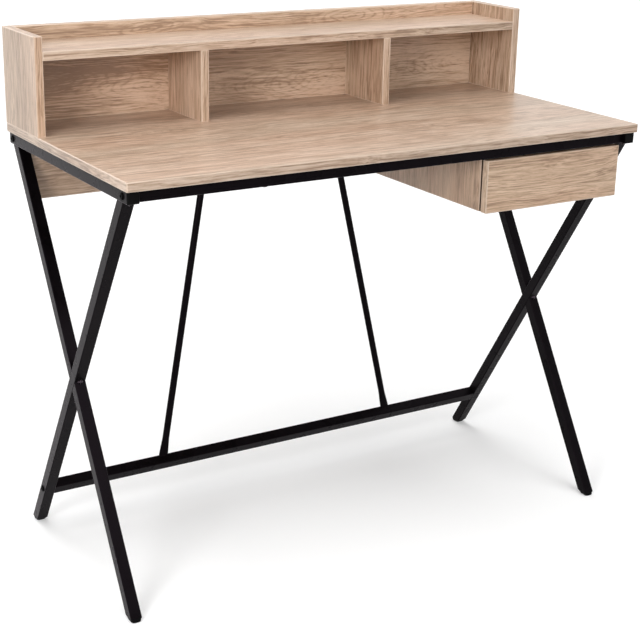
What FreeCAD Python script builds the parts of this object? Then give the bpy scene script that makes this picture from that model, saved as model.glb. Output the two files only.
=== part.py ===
import FreeCAD, Part
import math
import os
import re

import Sketcher
from FreeCAD import Placement, Rotation, Vector

# Student desk: a melamine top on two crossed-leg end frames of square steel tube, a low hutch along
# the rear of the top and one drawer hung under its right end. Millimetres, +Z up, front towards -Y.
# The origin is on the floor under the middle of the top.

DIMENSIONS = {
    # Boards of the top and the hutch
    "desk_width": 1000,
    "desk_depth": 500,
    "desk_height": 745,
    "board": 15,
    "board_bevel": 0.7,
    "top_corner": 2.5,
    "hutch_height": 165,
    "hutch_depth": 147,
    "shelf_level": 140,
    "divider_offset": 190,
    # Square tube of the end frames, the rails between them and the stretcher
    "tube_side": 20,
    "tube_wall": 1.2,
    "tube_round": 1.5,
    "frame_inset": 3,
    "rail_setback": 5,
    "front_rail_offset": 226,
    "rear_rail_offset": 230,
    "leg_top_offset": 217,
    "leg_foot_offset": 213,
    "stretcher_height": 85,
    # Plastic caps and foot plugs, and the threaded plugs in the rail ends
    "cap_flange": 3,
    "cap_bevel": 0.8,
    "cap_rim": 1.3,
    "foot_height": 7,
    "foot_round": 4,
    "spigot_length": 7,
    "end_plug_length": 15,
    # Round braces, pressed flat at both ends
    "brace_diameter": 13,
    "brace_oval": 0.1,
    "brace_wall": 1.2,
    "brace_foot_offset": 256.5,
    "brace_foot_thickness": 3,
    "brace_foot_flat": 17,
    "brace_foot_taper": 30,
    "brace_head_offset": 133,
    "brace_head_drop": 40,
    "brace_head_thickness": 3,
    "brace_head_flat": 45,
    "brace_head_taper": 30,
    "brace_stand_off": 1,
    "brace_screw_edge": 11,
    # Panel behind the knees and the open case that the drawer hangs in
    "panel_drop": 115,
    "panel_gap": 2,
    "case_width": 300,
    "case_gap": 4,
    # Drawer
    "drawer_gap": 2,
    "drawer_reveal": 2,
    "drawer_top_gap": 3.5,
    "drawer_front_height": 92.5,
    "drawer_box_lift": 12,
    "drawer_box_length": 350,
    "drawer_box_height": 70,
    "drawer_side": 12,
    "drawer_floor": 3,
    "drawer_floor_level": 8,
    "floor_groove": 6,
    # Roller runners
    "runner_space": 12.5,
    "runner_steel": 1.2,
    "runner_length": 345,
    "runner_flange": 9,
    "runner_play": 0.3,
    "roller_diameter": 16,
    "roller_width": 7,
    "roller_bevel": 0.6,
    "roller_bore": 4.1,
    "roller_gap": 0.4,
    "roller_setback": 14,
    "rivet_diameter": 4,
    "rivet_head": 7,
    "rivet_head_height": 0.8,
    # Fasteners
    "hole_play": 0.2,
    "bolt_diameter": 6,
    "bolt_grip": 12,
    "bolt_head": 12,
    "bolt_head_height": 2.6,
    "screw_head": 10,
    "screw_head_height": 2.5,
    "screw_diameter": 5,
    "small_screw_head": 8,
    "small_screw_head_height": 2.2,
    "small_screw_diameter": 4,
    "runner_screw_head": 7,
    "runner_screw_head_height": 0.7,
    "runner_screw_diameter": 3.5,
    "runner_bite": 6.5,
    "screw_bite": 11,
    "top_screw_offset": 257,
    "panel_screw_offset": 350,
    "case_cam_inset": 60,
    "runner_screw_inset": 45,
    "dowel_diameter": 8,
    "dowel_length": 30,
    "dowel_bite": 10,
    "cam_diameter": 15,
    "cam_depth": 12,
    "drawer_cam_depth": 9,
    "cam_setback": 34,
    "short_cam_setback": 24,
}

doc = FreeCAD.newDocument("student_desk")
sheet = doc.addObject("Spreadsheet::Sheet", "dims")
for row, (alias, number) in enumerate(DIMENSIONS.items(), start=1):
    sheet.set(f"A{row}", alias)
    sheet.set(f"B{row}", str(number))
    sheet.setAlias(f"B{row}", alias)
doc.recompute()

ALIAS = re.compile(r"\b(" + "|".join(DIMENSIONS) + r")\b")
PLANES = {"X": "YZ_Plane", "Y": "XZ_Plane", "Z": "XY_Plane"}
SIDES = (("left", -1), ("right", 1))
X, Y, Z = Vector(1, 0, 0), Vector(0, 1, 0), Vector(0, 0, 1)
nodes = []


def dim(alias):
    """Number in the sheet's cell of that name."""
    return sheet.get(alias)


def bind(obj, prop, formula):
    """Tie one property to a formula written in the sheet's own names."""
    obj.setExpression(prop, ALIAS.sub(r"dims.\1", formula))


def place(obj, centre, lean=None):
    """Put an object's origin at three formulas, leaning about X by a formula in degrees."""
    if lean:
        obj.Placement = Placement(Vector(), Rotation(X, 1))
        bind(obj, "Placement.Rotation.Angle", lean)
    for axis, formula in zip("xyz", centre):
        bind(obj, f"Placement.Base.{axis}", formula)


def node(obj, label):
    """Name a finished piece; its label is the name of its file."""
    obj.Label = label
    nodes.append(obj)
    return obj


def add_rectangle(sketch, name, width, height):
    """Draw a rectangle about the sketch's origin, sized by two formulas."""
    first = sketch.GeometryCount
    corners = [Vector(-1, -1, 0), Vector(1, -1, 0), Vector(1, 1, 0), Vector(-1, 1, 0)]
    for start, end in zip(corners, corners[1:] + corners[:1]):
        sketch.addGeometry(Part.LineSegment(start, end), False)
    for step in range(4):
        sketch.addConstraint(Sketcher.Constraint("Coincident", first + step, 2, first + (step + 1) % 4, 1))
        level = "Horizontal" if step % 2 == 0 else "Vertical"
        sketch.addConstraint(Sketcher.Constraint(level, first + step))
    sketch.addConstraint(Sketcher.Constraint("Symmetric", first, 1, first + 2, 1, -1, 1))
    wide = sketch.addConstraint(Sketcher.Constraint("DistanceX", first, 1, first, 2, 2))
    tall = sketch.addConstraint(Sketcher.Constraint("DistanceY", first + 1, 1, first + 1, 2, 2))
    for constraint, part, formula in ((wide, "width", width), (tall, "height", height)):
        sketch.renameConstraint(constraint, f"{name}_{part}")
        bind(sketch, f"Constraints.{name}_{part}", formula)


def add_circle(sketch, name, diameter):
    """Draw a circle about the sketch's origin, sized by one formula."""
    circle = sketch.addGeometry(Part.Circle(Vector(), Z, 1), False)
    sketch.addConstraint(Sketcher.Constraint("Coincident", circle, 3, -1, 1))
    size = sketch.addConstraint(Sketcher.Constraint("Diameter", circle, 2))
    sketch.renameConstraint(size, f"{name}_diameter")
    bind(sketch, f"Constraints.{name}_diameter", diameter)


def add_slot(sketch, width, thickness):
    """Draw a slot about the sketch's origin: two straight runs joined by half circles."""
    quarter_turn = math.pi / 2
    sketch.addGeometry(Part.LineSegment(Vector(-1, -1, 0), Vector(1, -1, 0)), False)
    right = sketch.addGeometry(Part.ArcOfCircle(Part.Circle(X, Z, 1), -quarter_turn, quarter_turn), False)
    sketch.addGeometry(Part.LineSegment(Vector(1, 1, 0), Vector(-1, 1, 0)), False)
    left = sketch.addGeometry(Part.ArcOfCircle(Part.Circle(-X, Z, 1), quarter_turn, 3 * quarter_turn), False)
    for step in range(4):
        sketch.addConstraint(Sketcher.Constraint("Tangent", step, 2, (step + 1) % 4, 1))
    for straight in (0, 2):
        sketch.addConstraint(Sketcher.Constraint("Horizontal", straight))
    sketch.addConstraint(Sketcher.Constraint("Symmetric", right, 3, left, 3, -1, 1))
    run = sketch.addConstraint(Sketcher.Constraint("DistanceX", left, 3, right, 3, 2))
    bend = sketch.addConstraint(Sketcher.Constraint("Radius", right, 1))
    sizes = ((run, "run", f"({width}) - ({thickness})"), (bend, "bend", f"({thickness}) / 2"))
    for constraint, name, formula in sizes:
        sketch.renameConstraint(constraint, name)
        bind(sketch, f"Constraints.{name}", formula)


def prism(name, along, length, rectangles, circles=()):
    """Body padded both ways from one of its own planes. A second outline makes it hollow."""
    body = doc.addObject("PartDesign::Body", name)
    sketch = body.newObject("Sketcher::SketchObject", f"{name}_section")
    plane = next(feature for feature in body.Origin.OriginFeatures if feature.Role == PLANES[along])
    sketch.AttachmentSupport = [(plane, "")]
    sketch.MapMode = "FlatFace"
    for outline, (width, height) in zip(("outer", "inner"), rectangles):
        add_rectangle(sketch, outline, width, height)
    for outline, diameter in zip(("outer", "inner"), circles):
        add_circle(sketch, outline, diameter)
    pad = body.newObject("PartDesign::Pad", f"{name}_pad")
    pad.Profile = sketch
    pad.SideType = "Symmetric"
    bind(pad, "Length", length)
    doc.recompute()
    return body


def ease_edges(body, kind, prop, size, chosen=None):
    """Round or bevel a body's edges: every one, or those that the test chosen picks."""
    base = body.Tip
    eased = body.newObject(f"PartDesign::{kind}", f"{body.Name}_{kind}")
    if chosen:
        names = [f"Edge{number}" for number, edge in enumerate(base.Shape.Edges, start=1) if chosen(edge)]
        eased.Base = (base, names)
    else:
        eased.Base = (base, [])
        eased.UseAllEdges = True
    bind(eased, prop, size)
    doc.recompute()


def round_edges(body, radius, chosen=None):
    """Round edges to a radius."""
    ease_edges(body, "Fillet", "Radius", radius, chosen)


def bevel_edges(body, size, chosen=None):
    """Bevel edges at 45 degrees."""
    ease_edges(body, "Chamfer", "Size", size, chosen)


def block(name, size, centre, bevel=None):
    """Rectangular solid of three formulas, with all its edges bevelled if a size is given."""
    body = prism(name, "Z", size[2], [(size[0], size[1])])
    if bevel:
        bevel_edges(body, bevel)
    place(body, centre)
    return body


def is_upright(edge):
    """True for an edge along +Z of the body that it is on."""
    return edge.BoundBox.ZLength > 1e-6 and edge.BoundBox.DiagonalLength - edge.BoundBox.ZLength < 1e-6


def square_tube(name, along, length, centre, lean=None):
    """Square steel tube along one axis, rounded outside and inside at its four corners."""
    bore = "tube_side - 2 * tube_wall"
    body = prism(name, along, length, [("tube_side", "tube_side"), (bore, bore)])
    reach = {"X": lambda box: box.XLength, "Y": lambda box: box.YLength, "Z": lambda box: box.ZLength}[along]
    full = reach(body.Shape.BoundBox)
    half_diagonal = dim("tube_side") / 2 ** 0.5

    def is_long(edge, outside):
        middle = edge.BoundBox.Center
        on_outside = middle.Length > half_diagonal - dim("tube_wall") / 2
        return abs(reach(edge.BoundBox) - full) < 1e-6 and on_outside == outside

    round_edges(body, "tube_round", lambda edge: is_long(edge, True))
    round_edges(body, "tube_round - tube_wall", lambda edge: is_long(edge, False))
    place(body, centre, lean)
    return body


def solid_bar(name, along, length, centre, lean, side="tube_side"):
    """Square bar in the place of a tube, for cutting what meets that tube or for filling its end."""
    body = prism(name, along, length, [(side, side)])
    place(body, centre, lean)
    return body


def combine(kind, name, base, tool):
    """Boolean of two objects: kind is Cut, Common or Fuse."""
    result = doc.addObject(f"Part::{kind}", name)
    result.Base = base
    result.Tool = tool
    return result


def joined(name, pieces):
    """One shape from several overlapping or touching ones."""
    result = doc.addObject("Part::MultiFuse", name)
    result.Shapes = pieces
    return result


def cut_piece(label, blank, tools):
    """Finished piece: a blank with holes, notches or grooves taken out of it."""
    blank.Label = f"{label}_blank"
    tool = tools[0] if len(tools) == 1 else joined(f"{label}_tools", tools)
    return node(combine("Cut", label, blank, tool), label)


def towards(position, direction):
    """Placement that turns +Z to a direction and moves the origin to a point."""
    return Placement(position, Rotation(Z, direction))


def box(obj):
    """Bounds of an object's shape where it stands."""
    return obj.Shape.BoundBox


def copies(name, shape, places):
    """Compound of one shape at several places, as a feature of its own."""
    feature = doc.addObject("Part::Feature", name)
    feature.Shape = Part.makeCompound([shape.transformed(spot.toMatrix()) for spot in places])
    return feature


def drill(name, diameter, depth, places):
    """Holes of one size, each starting at a place and running along its +Z."""
    radius = (diameter + dim("hole_play")) / 2
    return copies(name, Part.makeCylinder(radius, depth), places)


def pin(name, diameter, length):
    """Cylinder on the origin along +Z, sized by two formulas."""
    rod = doc.addObject("Part::Cylinder", name)
    bind(rod, "Radius", f"({diameter}) / 2")
    bind(rod, "Height", length)
    return rod


def headed(name, head, head_height, shank, length):
    """Bolt, screw or rivet along +Z with its head on the origin; length is the shank's."""
    top = pin(f"{name}_head", head, head_height)
    rod = pin(f"{name}_shank", shank, f"{head_height} + {length}")
    doc.recompute()
    return combine("Fuse", name, top, rod)


def fasten(label, sizes, places, sunk=False):
    """Group of headed fasteners, and the holes for them. A place is the seat of a head, or the face that
    a sunk head is flush with."""
    head, head_height, shank, length = sizes
    master = headed(f"{label}_master", head, head_height, shank, length)
    doc.recompute()
    seat = 0 if sunk else -dim(head_height)
    heads = [spot.multiply(Placement(Z * seat, Rotation())) for spot in places]
    node(copies(label, master.Shape, heads), label)
    reach = master.Shape.BoundBox.ZLength + seat
    holes = [drill(f"{label}_holes", dim(shank), reach, places)]
    if sunk:
        holes.append(drill(f"{label}_recesses", dim(head), dim(head_height), places))
    return holes


def group_of(label, master, places):
    """Node that holds copies of a piece without a head, such as a dowel or a cap."""
    doc.recompute()
    return node(copies(label, master.Shape, places), label)


# Formulas that several pieces share
UNDERSIDE = "(desk_height - board)"
RAIL_LOW = f"({UNDERSIDE} - tube_side)"
RAIL_LEVEL = f"({UNDERSIDE} - tube_side / 2)"
FRAME_INNER = "(desk_width / 2 - frame_inset - tube_side)"
FRAME_CENTRE = f"({FRAME_INNER} + tube_side / 2)"
LEG_SPAN = "(leg_top_offset + leg_foot_offset)"
LEAN = f"atan2({LEG_SPAN}; {RAIL_LOW})"
CROSSING = f"({RAIL_LOW} * leg_foot_offset / {LEG_SPAN})"
STRETCHER_Y = f"(leg_foot_offset - {LEG_SPAN} * stretcher_height / {RAIL_LOW})"
PANEL_FRONT = "(rear_rail_offset - tube_side / 2 - board)"
FRONT_FACE = "(-front_rail_offset - tube_side / 2)"
CASE_MIDDLE = f"({FRAME_INNER} - case_gap - case_width / 2)"
CASE_FRONT = f"({FRONT_FACE} + board + drawer_gap)"
BOX_FRONT = f"({FRONT_FACE} + board)"
BOX_WIDTH = "(case_width - 2 * board - 2 * runner_space)"
FRONT_LOW = f"({RAIL_LOW} - drawer_top_gap - drawer_front_height)"
BOX_LOW = f"({FRONT_LOW} + drawer_box_lift)"
ROLLER_LEVEL = f"({BOX_LOW} + roller_diameter / 2 + runner_play + runner_steel)"
INNER_BORE = "(tube_side - 2 * tube_wall - hole_play)"

# Top: one board, its upright corners rounded a little more than its edges
tabletop = prism("tabletop_board", "Z", "board", [("desk_width", "desk_depth")])
round_edges(tabletop, "top_corner", is_upright)
bevel_edges(tabletop, "board_bevel", lambda edge: edge.BoundBox.ZLength < 1e-6)
place(tabletop, ("0", "0", "desk_height - board / 2"))

# Hutch: two sides and a back round a shelf, with two dividers under the shelf
hutch_run = "hutch_depth - board"
hutch_middle = "(desk_depth - hutch_depth - board) / 2"
hutch_length = "desk_width - 2 * board"
hutch_level = "desk_height + hutch_height / 2"
hutch_sides = {}
dividers = {}
for side, sign in SIDES:
    hutch_sides[side] = block(
        f"hutch_{side}_side_board", ("board", "hutch_depth", "hutch_height"),
        (f"{sign} * (desk_width - board) / 2", "(desk_depth - hutch_depth) / 2", hutch_level),
        "board_bevel")
    dividers[side] = block(
        f"hutch_{side}_divider_board", ("board", hutch_run, "shelf_level - board"),
        (f"{sign} * divider_offset", hutch_middle, "desk_height + (shelf_level - board) / 2"), "board_bevel")
hutch_back = block(
    "hutch_back_board", (hutch_length, "board", "hutch_height"),
    ("0", "(desk_depth - board) / 2", hutch_level), "board_bevel")
hutch_shelf = block(
    "hutch_shelf_board", (hutch_length, hutch_run, "board"),
    ("0", hutch_middle, "desk_height + shelf_level - board / 2"), "board_bevel")

# End frames: a rail under each end of the top and crossed legs below it. The leg that runs from the
# front of the rail to the rear foot is whole; the other is cut and welded to it as two halves
leg_blank_length = f"hypot({LEG_SPAN}; {RAIL_LOW}) + 2 * tube_side"
leg_offset = "(leg_top_offset - leg_foot_offset) / 2"
end_rails = {}
long_legs = {}
cross_legs = {}
long_bars = {}
for side, sign in SIDES:
    frame_x = f"{sign} * {FRAME_CENTRE}"
    end_rails[side] = square_tube(
        f"{side}_end_rail_tube", "Y", "desk_depth - 2 * (rail_setback + cap_flange)",
        (frame_x, "0", RAIL_LEVEL))
    falling_back = (frame_x, f"-{leg_offset}", f"{RAIL_LOW} / 2")
    falling_forward = (frame_x, leg_offset, f"{RAIL_LOW} / 2")
    long_legs[side] = square_tube(f"{side}_long_tube", "Z", leg_blank_length, falling_back, LEAN)
    long_bars[side] = solid_bar(f"{side}_long_bar", "Z", leg_blank_length, falling_back, LEAN)
    cross_legs[side] = square_tube(f"{side}_cross_tube", "Z", leg_blank_length, falling_forward, f"-{LEAN}")


def level_slab(name, low, high):
    """Wide slab between two levels, to trim leaning legs level at both ends."""
    size = ("2 * desk_width", "2 * desk_depth", f"{high} - {low}")
    return block(name, size, ("0", "0", f"({high} + {low}) / 2"))


leg_slab = level_slab("leg_slab", "foot_height", RAIL_LOW)
upper_slab = level_slab("upper_slab", CROSSING, RAIL_LOW)
lower_slab = level_slab("lower_slab", "foot_height", CROSSING)

# Rails between the end frames, and the stretcher, which lies square to the legs that it joins
rail_length = f"2 * {FRAME_INNER}"
front_rail = square_tube("front_rail_tube", "X", rail_length, ("0", "-front_rail_offset", RAIL_LEVEL))
rear_rail = square_tube("rear_rail_tube", "X", rail_length, ("0", "rear_rail_offset", RAIL_LEVEL))
stretcher_centre = ("0", STRETCHER_Y, "stretcher_height")
stretcher = node(square_tube("stretcher_tube", "X", rail_length, stretcher_centre, LEAN), "stretcher")
stretcher_bar = solid_bar("stretcher_bar", "X", rail_length, stretcher_centre, LEAN)

# Panel behind the knees, and the two panels of the drawer's case
panel_level = f"{UNDERSIDE} - panel_drop / 2"
modesty_panel = block(
    "modesty_board", (f"2 * ({FRAME_INNER} - panel_gap)", "board", "panel_drop"),
    ("0", f"{PANEL_FRONT} + board / 2", panel_level), "board_bevel")
case_panels = {}
for side, sign in SIDES:
    case_panels[side] = block(
        f"case_{side}_board", ("board", f"{PANEL_FRONT} - {CASE_FRONT}", "panel_drop"),
        (f"{CASE_MIDDLE} + {sign} * (case_width - board) / 2", f"({PANEL_FRONT} + {CASE_FRONT}) / 2",
         panel_level), "board_bevel")
rail_notch = block(
    "rail_notch", ("case_width + 2 * board", "tube_side + 2 * panel_gap", "tube_side + 2 * panel_gap"),
    (CASE_MIDDLE, "-front_rail_offset", f"{RAIL_LEVEL} + panel_gap / 2"))

# Drawer: a front that covers the case's edges, and a box behind it
drawer_front = block(
    "drawer_front_board", ("case_width - 2 * drawer_reveal", "board", "drawer_front_height"),
    (CASE_MIDDLE, f"{FRONT_FACE} + board / 2", f"{FRONT_LOW} + drawer_front_height / 2"), "board_bevel")
box_level = f"{BOX_LOW} + drawer_box_height / 2"
box_middle = f"{BOX_FRONT} + drawer_box_length / 2"
drawer_sides = {}
for side, sign in SIDES:
    drawer_sides[side] = block(
        f"drawer_{side}_board", ("drawer_side", "drawer_box_length", "drawer_box_height"),
        (f"{CASE_MIDDLE} + {sign} * ({BOX_WIDTH} - drawer_side) / 2", box_middle, box_level))
back_height = "(drawer_box_height - drawer_floor_level - drawer_floor - hole_play)"
drawer_back = block(
    "drawer_back_board", (f"{BOX_WIDTH} - 2 * drawer_side", "drawer_side", back_height),
    (CASE_MIDDLE, f"{BOX_FRONT} + drawer_box_length - drawer_side / 2",
     f"{BOX_LOW} + drawer_box_height - {back_height} / 2"))
floor_size = (f"{BOX_WIDTH} - 2 * drawer_side + 2 * floor_groove", "drawer_box_length + floor_groove")
floor_centre = (
    CASE_MIDDLE, f"{BOX_FRONT} + (drawer_box_length - floor_groove) / 2",
    f"{BOX_LOW} + drawer_floor_level + drawer_floor / 2")
drawer_bottom = node(
    block("drawer_bottom_board", tuple(f"{length} - hole_play" for length in floor_size) + ("drawer_floor",),
          floor_centre), "drawer_bottom")
floor_slot = block("floor_slot", floor_size + ("drawer_floor + hole_play",), floor_centre)

# Runners: a steel channel on each case panel, open towards the drawer, and on each side of the box a
# web with one flange out over the case's roller and one in under the box
runner_y = f"{CASE_FRONT} + runner_length / 2"
roller_room = "(roller_diameter + 2 * runner_play)"
channel_height = f"({roller_room} + 3 * runner_steel + runner_play)"
channel_level = f"{BOX_LOW} + {channel_height} / 2"
web_height = f"({roller_room} + 3 * runner_steel)"
case_runners = {}
drawer_runners = {}
for side, sign in SIDES:
    case_face = f"{CASE_MIDDLE} + {sign} * (case_width / 2 - board)"
    box_face = f"{CASE_MIDDLE} + {sign} * {BOX_WIDTH} / 2"
    channel = block(
        f"{side}_channel", ("runner_steel + runner_flange", "runner_length", channel_height),
        (f"{case_face} - {sign} * (runner_steel + runner_flange) / 2", runner_y, channel_level))
    hollow = block(
        f"{side}_hollow", ("2 * runner_flange", "2 * runner_length", f"{channel_height} - 2 * runner_steel"),
        (f"{case_face} - {sign} * (runner_steel + runner_flange)", runner_y, channel_level))
    case_runners[side] = combine("Cut", f"{side}_case_channel", channel, hollow)
    web = block(
        f"{side}_web", ("runner_steel", "runner_length", web_height),
        (f"{box_face} + {sign} * runner_steel / 2", runner_y,
         f"{BOX_LOW} - runner_steel + {web_height} / 2"))
    over_flange = block(
        f"{side}_over_flange", ("runner_flange", "runner_length", "runner_steel"),
        (f"{box_face} + {sign} * (runner_steel + runner_flange) / 2", runner_y,
         f"{BOX_LOW} + {roller_room} + 1.5 * runner_steel"))
    under_flange = block(
        f"{side}_under_flange", ("drawer_side + runner_steel", "runner_length", "runner_steel"),
        (f"{box_face} + {sign} * (runner_steel - drawer_side) / 2", runner_y,
         f"{BOX_LOW} - runner_steel / 2"))
    drawer_runners[side] = joined(f"{side}_drawer_profile", [web, over_flange, under_flange])

# Rollers: one near the front of each case runner and one near the rear of each drawer runner
ROLLER_LEVEL = f"{BOX_LOW} + runner_steel + {roller_room} / 2"
roller_step = "(runner_steel + roller_gap + roller_width / 2)"
case_rollers = {}
drawer_rollers = {}


def roller(label, x_formula, y_formula):
    """Nylon roller about an axis along X: a ring with its rim eased."""
    ring = prism(f"{label}_ring", "X", "roller_width", [], circles=("roller_diameter", "roller_bore"))
    bore = dim("roller_bore")
    bevel_edges(ring, "roller_bevel", lambda edge: len(edge.Vertexes) == 1 and edge.BoundBox.ZMax > bore)
    place(ring, (x_formula, y_formula, ROLLER_LEVEL))
    return node(ring, label)


for side, sign in SIDES:
    case_face = f"{CASE_MIDDLE} + {sign} * (case_width / 2 - board)"
    box_face = f"{CASE_MIDDLE} + {sign} * {BOX_WIDTH} / 2"
    case_rollers[side] = roller(
        f"{side}_case_roller", f"{case_face} - {sign} * {roller_step}", f"{CASE_FRONT} + roller_setback")
    drawer_rollers[side] = roller(
        f"{side}_drawer_roller", f"{box_face} + {sign} * {roller_step}",
        f"{CASE_FRONT} + runner_length - roller_setback")

# Braces: round tubes that lean together from the stretcher up to the panel. Each end is pressed shut,
# lofted from the round section to a flat one
BRACE_TOP = f"({UNDERSIDE} - brace_head_drop)"
HEAD_LOW = f"({BRACE_TOP} - brace_head_flat)"
ROUND_TOP = f"({HEAD_LOW} - brace_head_taper)"
FOOT_FLAT = "(stretcher_height + brace_foot_flat)"
ROUND_LOW = f"({FOOT_FLAT} + brace_foot_taper)"
round_top_y = f"({PANEL_FRONT} - brace_stand_off - brace_diameter / 2)"
head_y = f"({PANEL_FRONT} - brace_head_thickness / 2)"
round_thickness = "(brace_diameter - brace_oval)"


def brace_depth(level):
    """Formula of a brace's place from front to rear at a level below its head."""
    rise = f"({level} - stretcher_height) / ({ROUND_TOP} - stretcher_height)"
    return f"({STRETCHER_Y} + ({round_top_y} - {STRETCHER_Y}) * {rise})"


BRACE_SECTIONS = (
    ("stretcher_height", STRETCHER_Y, "brace_foot_thickness"),
    (FOOT_FLAT, brace_depth(FOOT_FLAT), "brace_foot_thickness"),
    (ROUND_LOW, brace_depth(ROUND_LOW), round_thickness),
    (ROUND_TOP, round_top_y, round_thickness),
    (HEAD_LOW, head_y, "brace_head_thickness"),
    (BRACE_TOP, head_y, "brace_head_thickness"),
)


def brace_offset(level):
    """Formula of a brace's distance from the middle of the desk at a level."""
    rise = f"({level} - stretcher_height) / ({BRACE_TOP} - stretcher_height)"
    return f"(brace_foot_offset + (brace_head_offset - brace_foot_offset) * {rise})"


def brace_solid(name, sign, sections, inset):
    """Solid through some of a brace's sections, drawn in by an inset. Pressing keeps the tube's girth."""
    body = doc.addObject("PartDesign::Body", name)
    plane = next(feature for feature in body.Origin.OriginFeatures if feature.Role == "XY_Plane")
    sketches = []
    for level, depth, thickness in sections:
        sketch = body.newObject("Sketcher::SketchObject", f"{name}_section")
        sketch.AttachmentSupport = [(plane, "")]
        sketch.MapMode = "FlatFace"
        for axis, formula in zip("xyz", (f"{sign} * {brace_offset(level)}", depth, level)):
            bind(sketch, f"AttachmentOffset.Base.{axis}", formula)
        width = f"{thickness} + pi * (brace_diameter - {thickness}) / 2"
        add_slot(sketch, f"{width} - 2 * {inset}", f"{thickness} - 2 * {inset}")
        sketches.append(sketch)
    for number, lower in enumerate(sketches[:-1]):
        low, low_y, low_thickness = sections[number]
        high, high_y, high_thickness = sections[number + 1]
        if low_thickness == high_thickness:
            run = body.newObject("PartDesign::Pad", f"{name}_straight")
            run.Profile = lower
            run.UseCustomVector = True
            run.AlongSketchNormal = True
            bind(run, "Direction.x", f"{sign} * ({brace_offset(high)} - {brace_offset(low)})")
            bind(run, "Direction.y", f"{high_y} - {low_y}")
            bind(run, "Direction.z", f"{high} - {low}")
            bind(run, "Length", f"{high} - {low}")
        else:
            run = body.newObject("PartDesign::AdditiveLoft", f"{name}_pressed")
            run.Profile = lower
            run.Sections = [sketches[number + 1]]
            run.Ruled = True
        doc.recompute()
    return body


braces = {}
brace_bores = {}
for side, sign in SIDES:
    braces[side] = brace_solid(f"{side}_brace_skin", sign, BRACE_SECTIONS, "0")
    brace_bores[side] = brace_solid(f"{side}_brace_bore", sign, BRACE_SECTIONS[2:4], "brace_wall")

# Frame bolts through the end frames into threaded plugs in the ends of the rails and the stretcher
bolt_places = []
plug_places = []
for side, sign in SIDES:
    for rail in (front_rail, rear_rail, stretcher):
        middle = box(rail).Center
        rail_end = sign * box(rail).XMax
        outer_face = rail_end + sign * dim("tube_side")
        bolt_places.append(towards(Vector(outer_face, middle.y, middle.z), X * -sign))
        plug_x = rail_end - sign * dim("end_plug_length") / 2
        plug_places.append(Placement(Vector(plug_x, middle.y, middle.z), rail.Placement.Rotation))
bolt_sizes = ("bolt_head", "bolt_head_height", "bolt_diameter", "tube_side + bolt_grip")
frame_bolt_holes = fasten("frame_bolts", bolt_sizes, bolt_places)
plug_size = ("end_plug_length", INNER_BORE, INNER_BORE)
plug_block = block("end_plug_block", plug_size, ("0", "0", "0"), "cap_bevel")
plug_start = Vector(-dim("end_plug_length") / 2, 0, 0)
plug_bore = drill("end_plug_bore", dim("bolt_diameter"), dim("end_plug_length"), [towards(plug_start, X)])
end_plug = combine("Cut", "end_plug", plug_block, plug_bore)
group_of("threaded_end_plugs", end_plug, plug_places)

# Screws up through the rails into the top, and through the rear rail into the panel
screw_sizes = ("screw_head", "screw_head_height", "screw_diameter", "tube_side + screw_bite")
screw_x = dim("top_screw_offset")
top_screw_places = [
    towards(Vector(x, box(rail).Center.y, box(rail).ZMin), Z)
    for rail in (front_rail, rear_rail) for x in (-screw_x, screw_x)]
top_screw_holes = fasten("tabletop_screws", screw_sizes, top_screw_places)
screw_x = dim("panel_screw_offset")
panel_screw_places = [
    towards(Vector(x, box(rear_rail).YMax, box(rear_rail).Center.z), -Y) for x in (-screw_x, 0, screw_x)]
small_screw = ("small_screw_head", "small_screw_head_height", "small_screw_diameter")
panel_screw = small_screw + ("tube_side + screw_bite",)
panel_screw_holes = fasten("modesty_panel_screws", panel_screw, panel_screw_places)

# Two screws hold the flat head of each brace to the panel
brace_screw_places = []
brace_top = box(braces["left"]).ZMax
brace_rise = brace_top - dim("stretcher_height")
for side, sign in SIDES:
    for level in (brace_top - dim("brace_screw_edge"),
                  brace_top - dim("brace_head_flat") + dim("brace_screw_edge")):
        reach = (level - dim("stretcher_height")) / brace_rise
        x = sign * (dim("brace_foot_offset") * (1 - reach) + dim("brace_head_offset") * reach)
        front = box(modesty_panel).YMin - dim("brace_head_thickness")
        brace_screw_places.append(towards(Vector(x, front, level), Y))
brace_screw_holes = fasten(
    "brace_screws", small_screw + ("brace_head_thickness + screw_bite",), brace_screw_places)


def cam_spot(centre, inward, joint):
    """Placement of a cam disc: its origin on the board's face, +Z into the board, +X towards the joint."""
    return Placement(centre, Rotation(joint, Vector(), inward, "ZXY"))


def cam_joints(label, spots, depth, setback, half):
    """Discs in pockets of one board and the bolts that they draw, set in the next board, with the holes."""
    to_bolt = Placement(Vector(0, 0, half), Rotation(Z, X))
    disc_blank = pin(f"{label}_disc_blank", "cam_diameter", depth)
    bolt_way = drill(f"{label}_bolt_way", dim("bolt_diameter"), dim("cam_diameter"), [to_bolt])
    disc = combine("Cut", f"{label}_disc", disc_blank, bolt_way)
    group_of(f"{label}_discs", disc, spots)
    bolt = pin(f"{label}_bolt", "bolt_diameter", f"{setback} + screw_bite - bolt_diameter / 2")
    into_disc = Placement(Vector(dim("bolt_diameter") / 2, 0, half), Rotation(Z, X))
    group_of(f"{label}_bolts", bolt, [spot.multiply(into_disc) for spot in spots])
    bolt_run = dim(setback) + dim("screw_bite")
    bolt_starts = [spot.multiply(to_bolt) for spot in spots]
    return [
        drill(f"{label}_pockets", dim("cam_diameter"), dim(depth), spots),
        drill(f"{label}_bolt_holes", dim("bolt_diameter"), bolt_run, bolt_starts)]


def dowels(label, starts):
    """Group of beech dowels, each from a point along a direction, and the holes for them."""
    places = [towards(start, direction) for start, direction in starts]
    group_of(label, pin(f"{label}_master", "dowel_diameter", "dowel_length"), places)
    return [drill(f"{label}_holes", dim("dowel_diameter"), dim("dowel_length"), places)]


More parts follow.
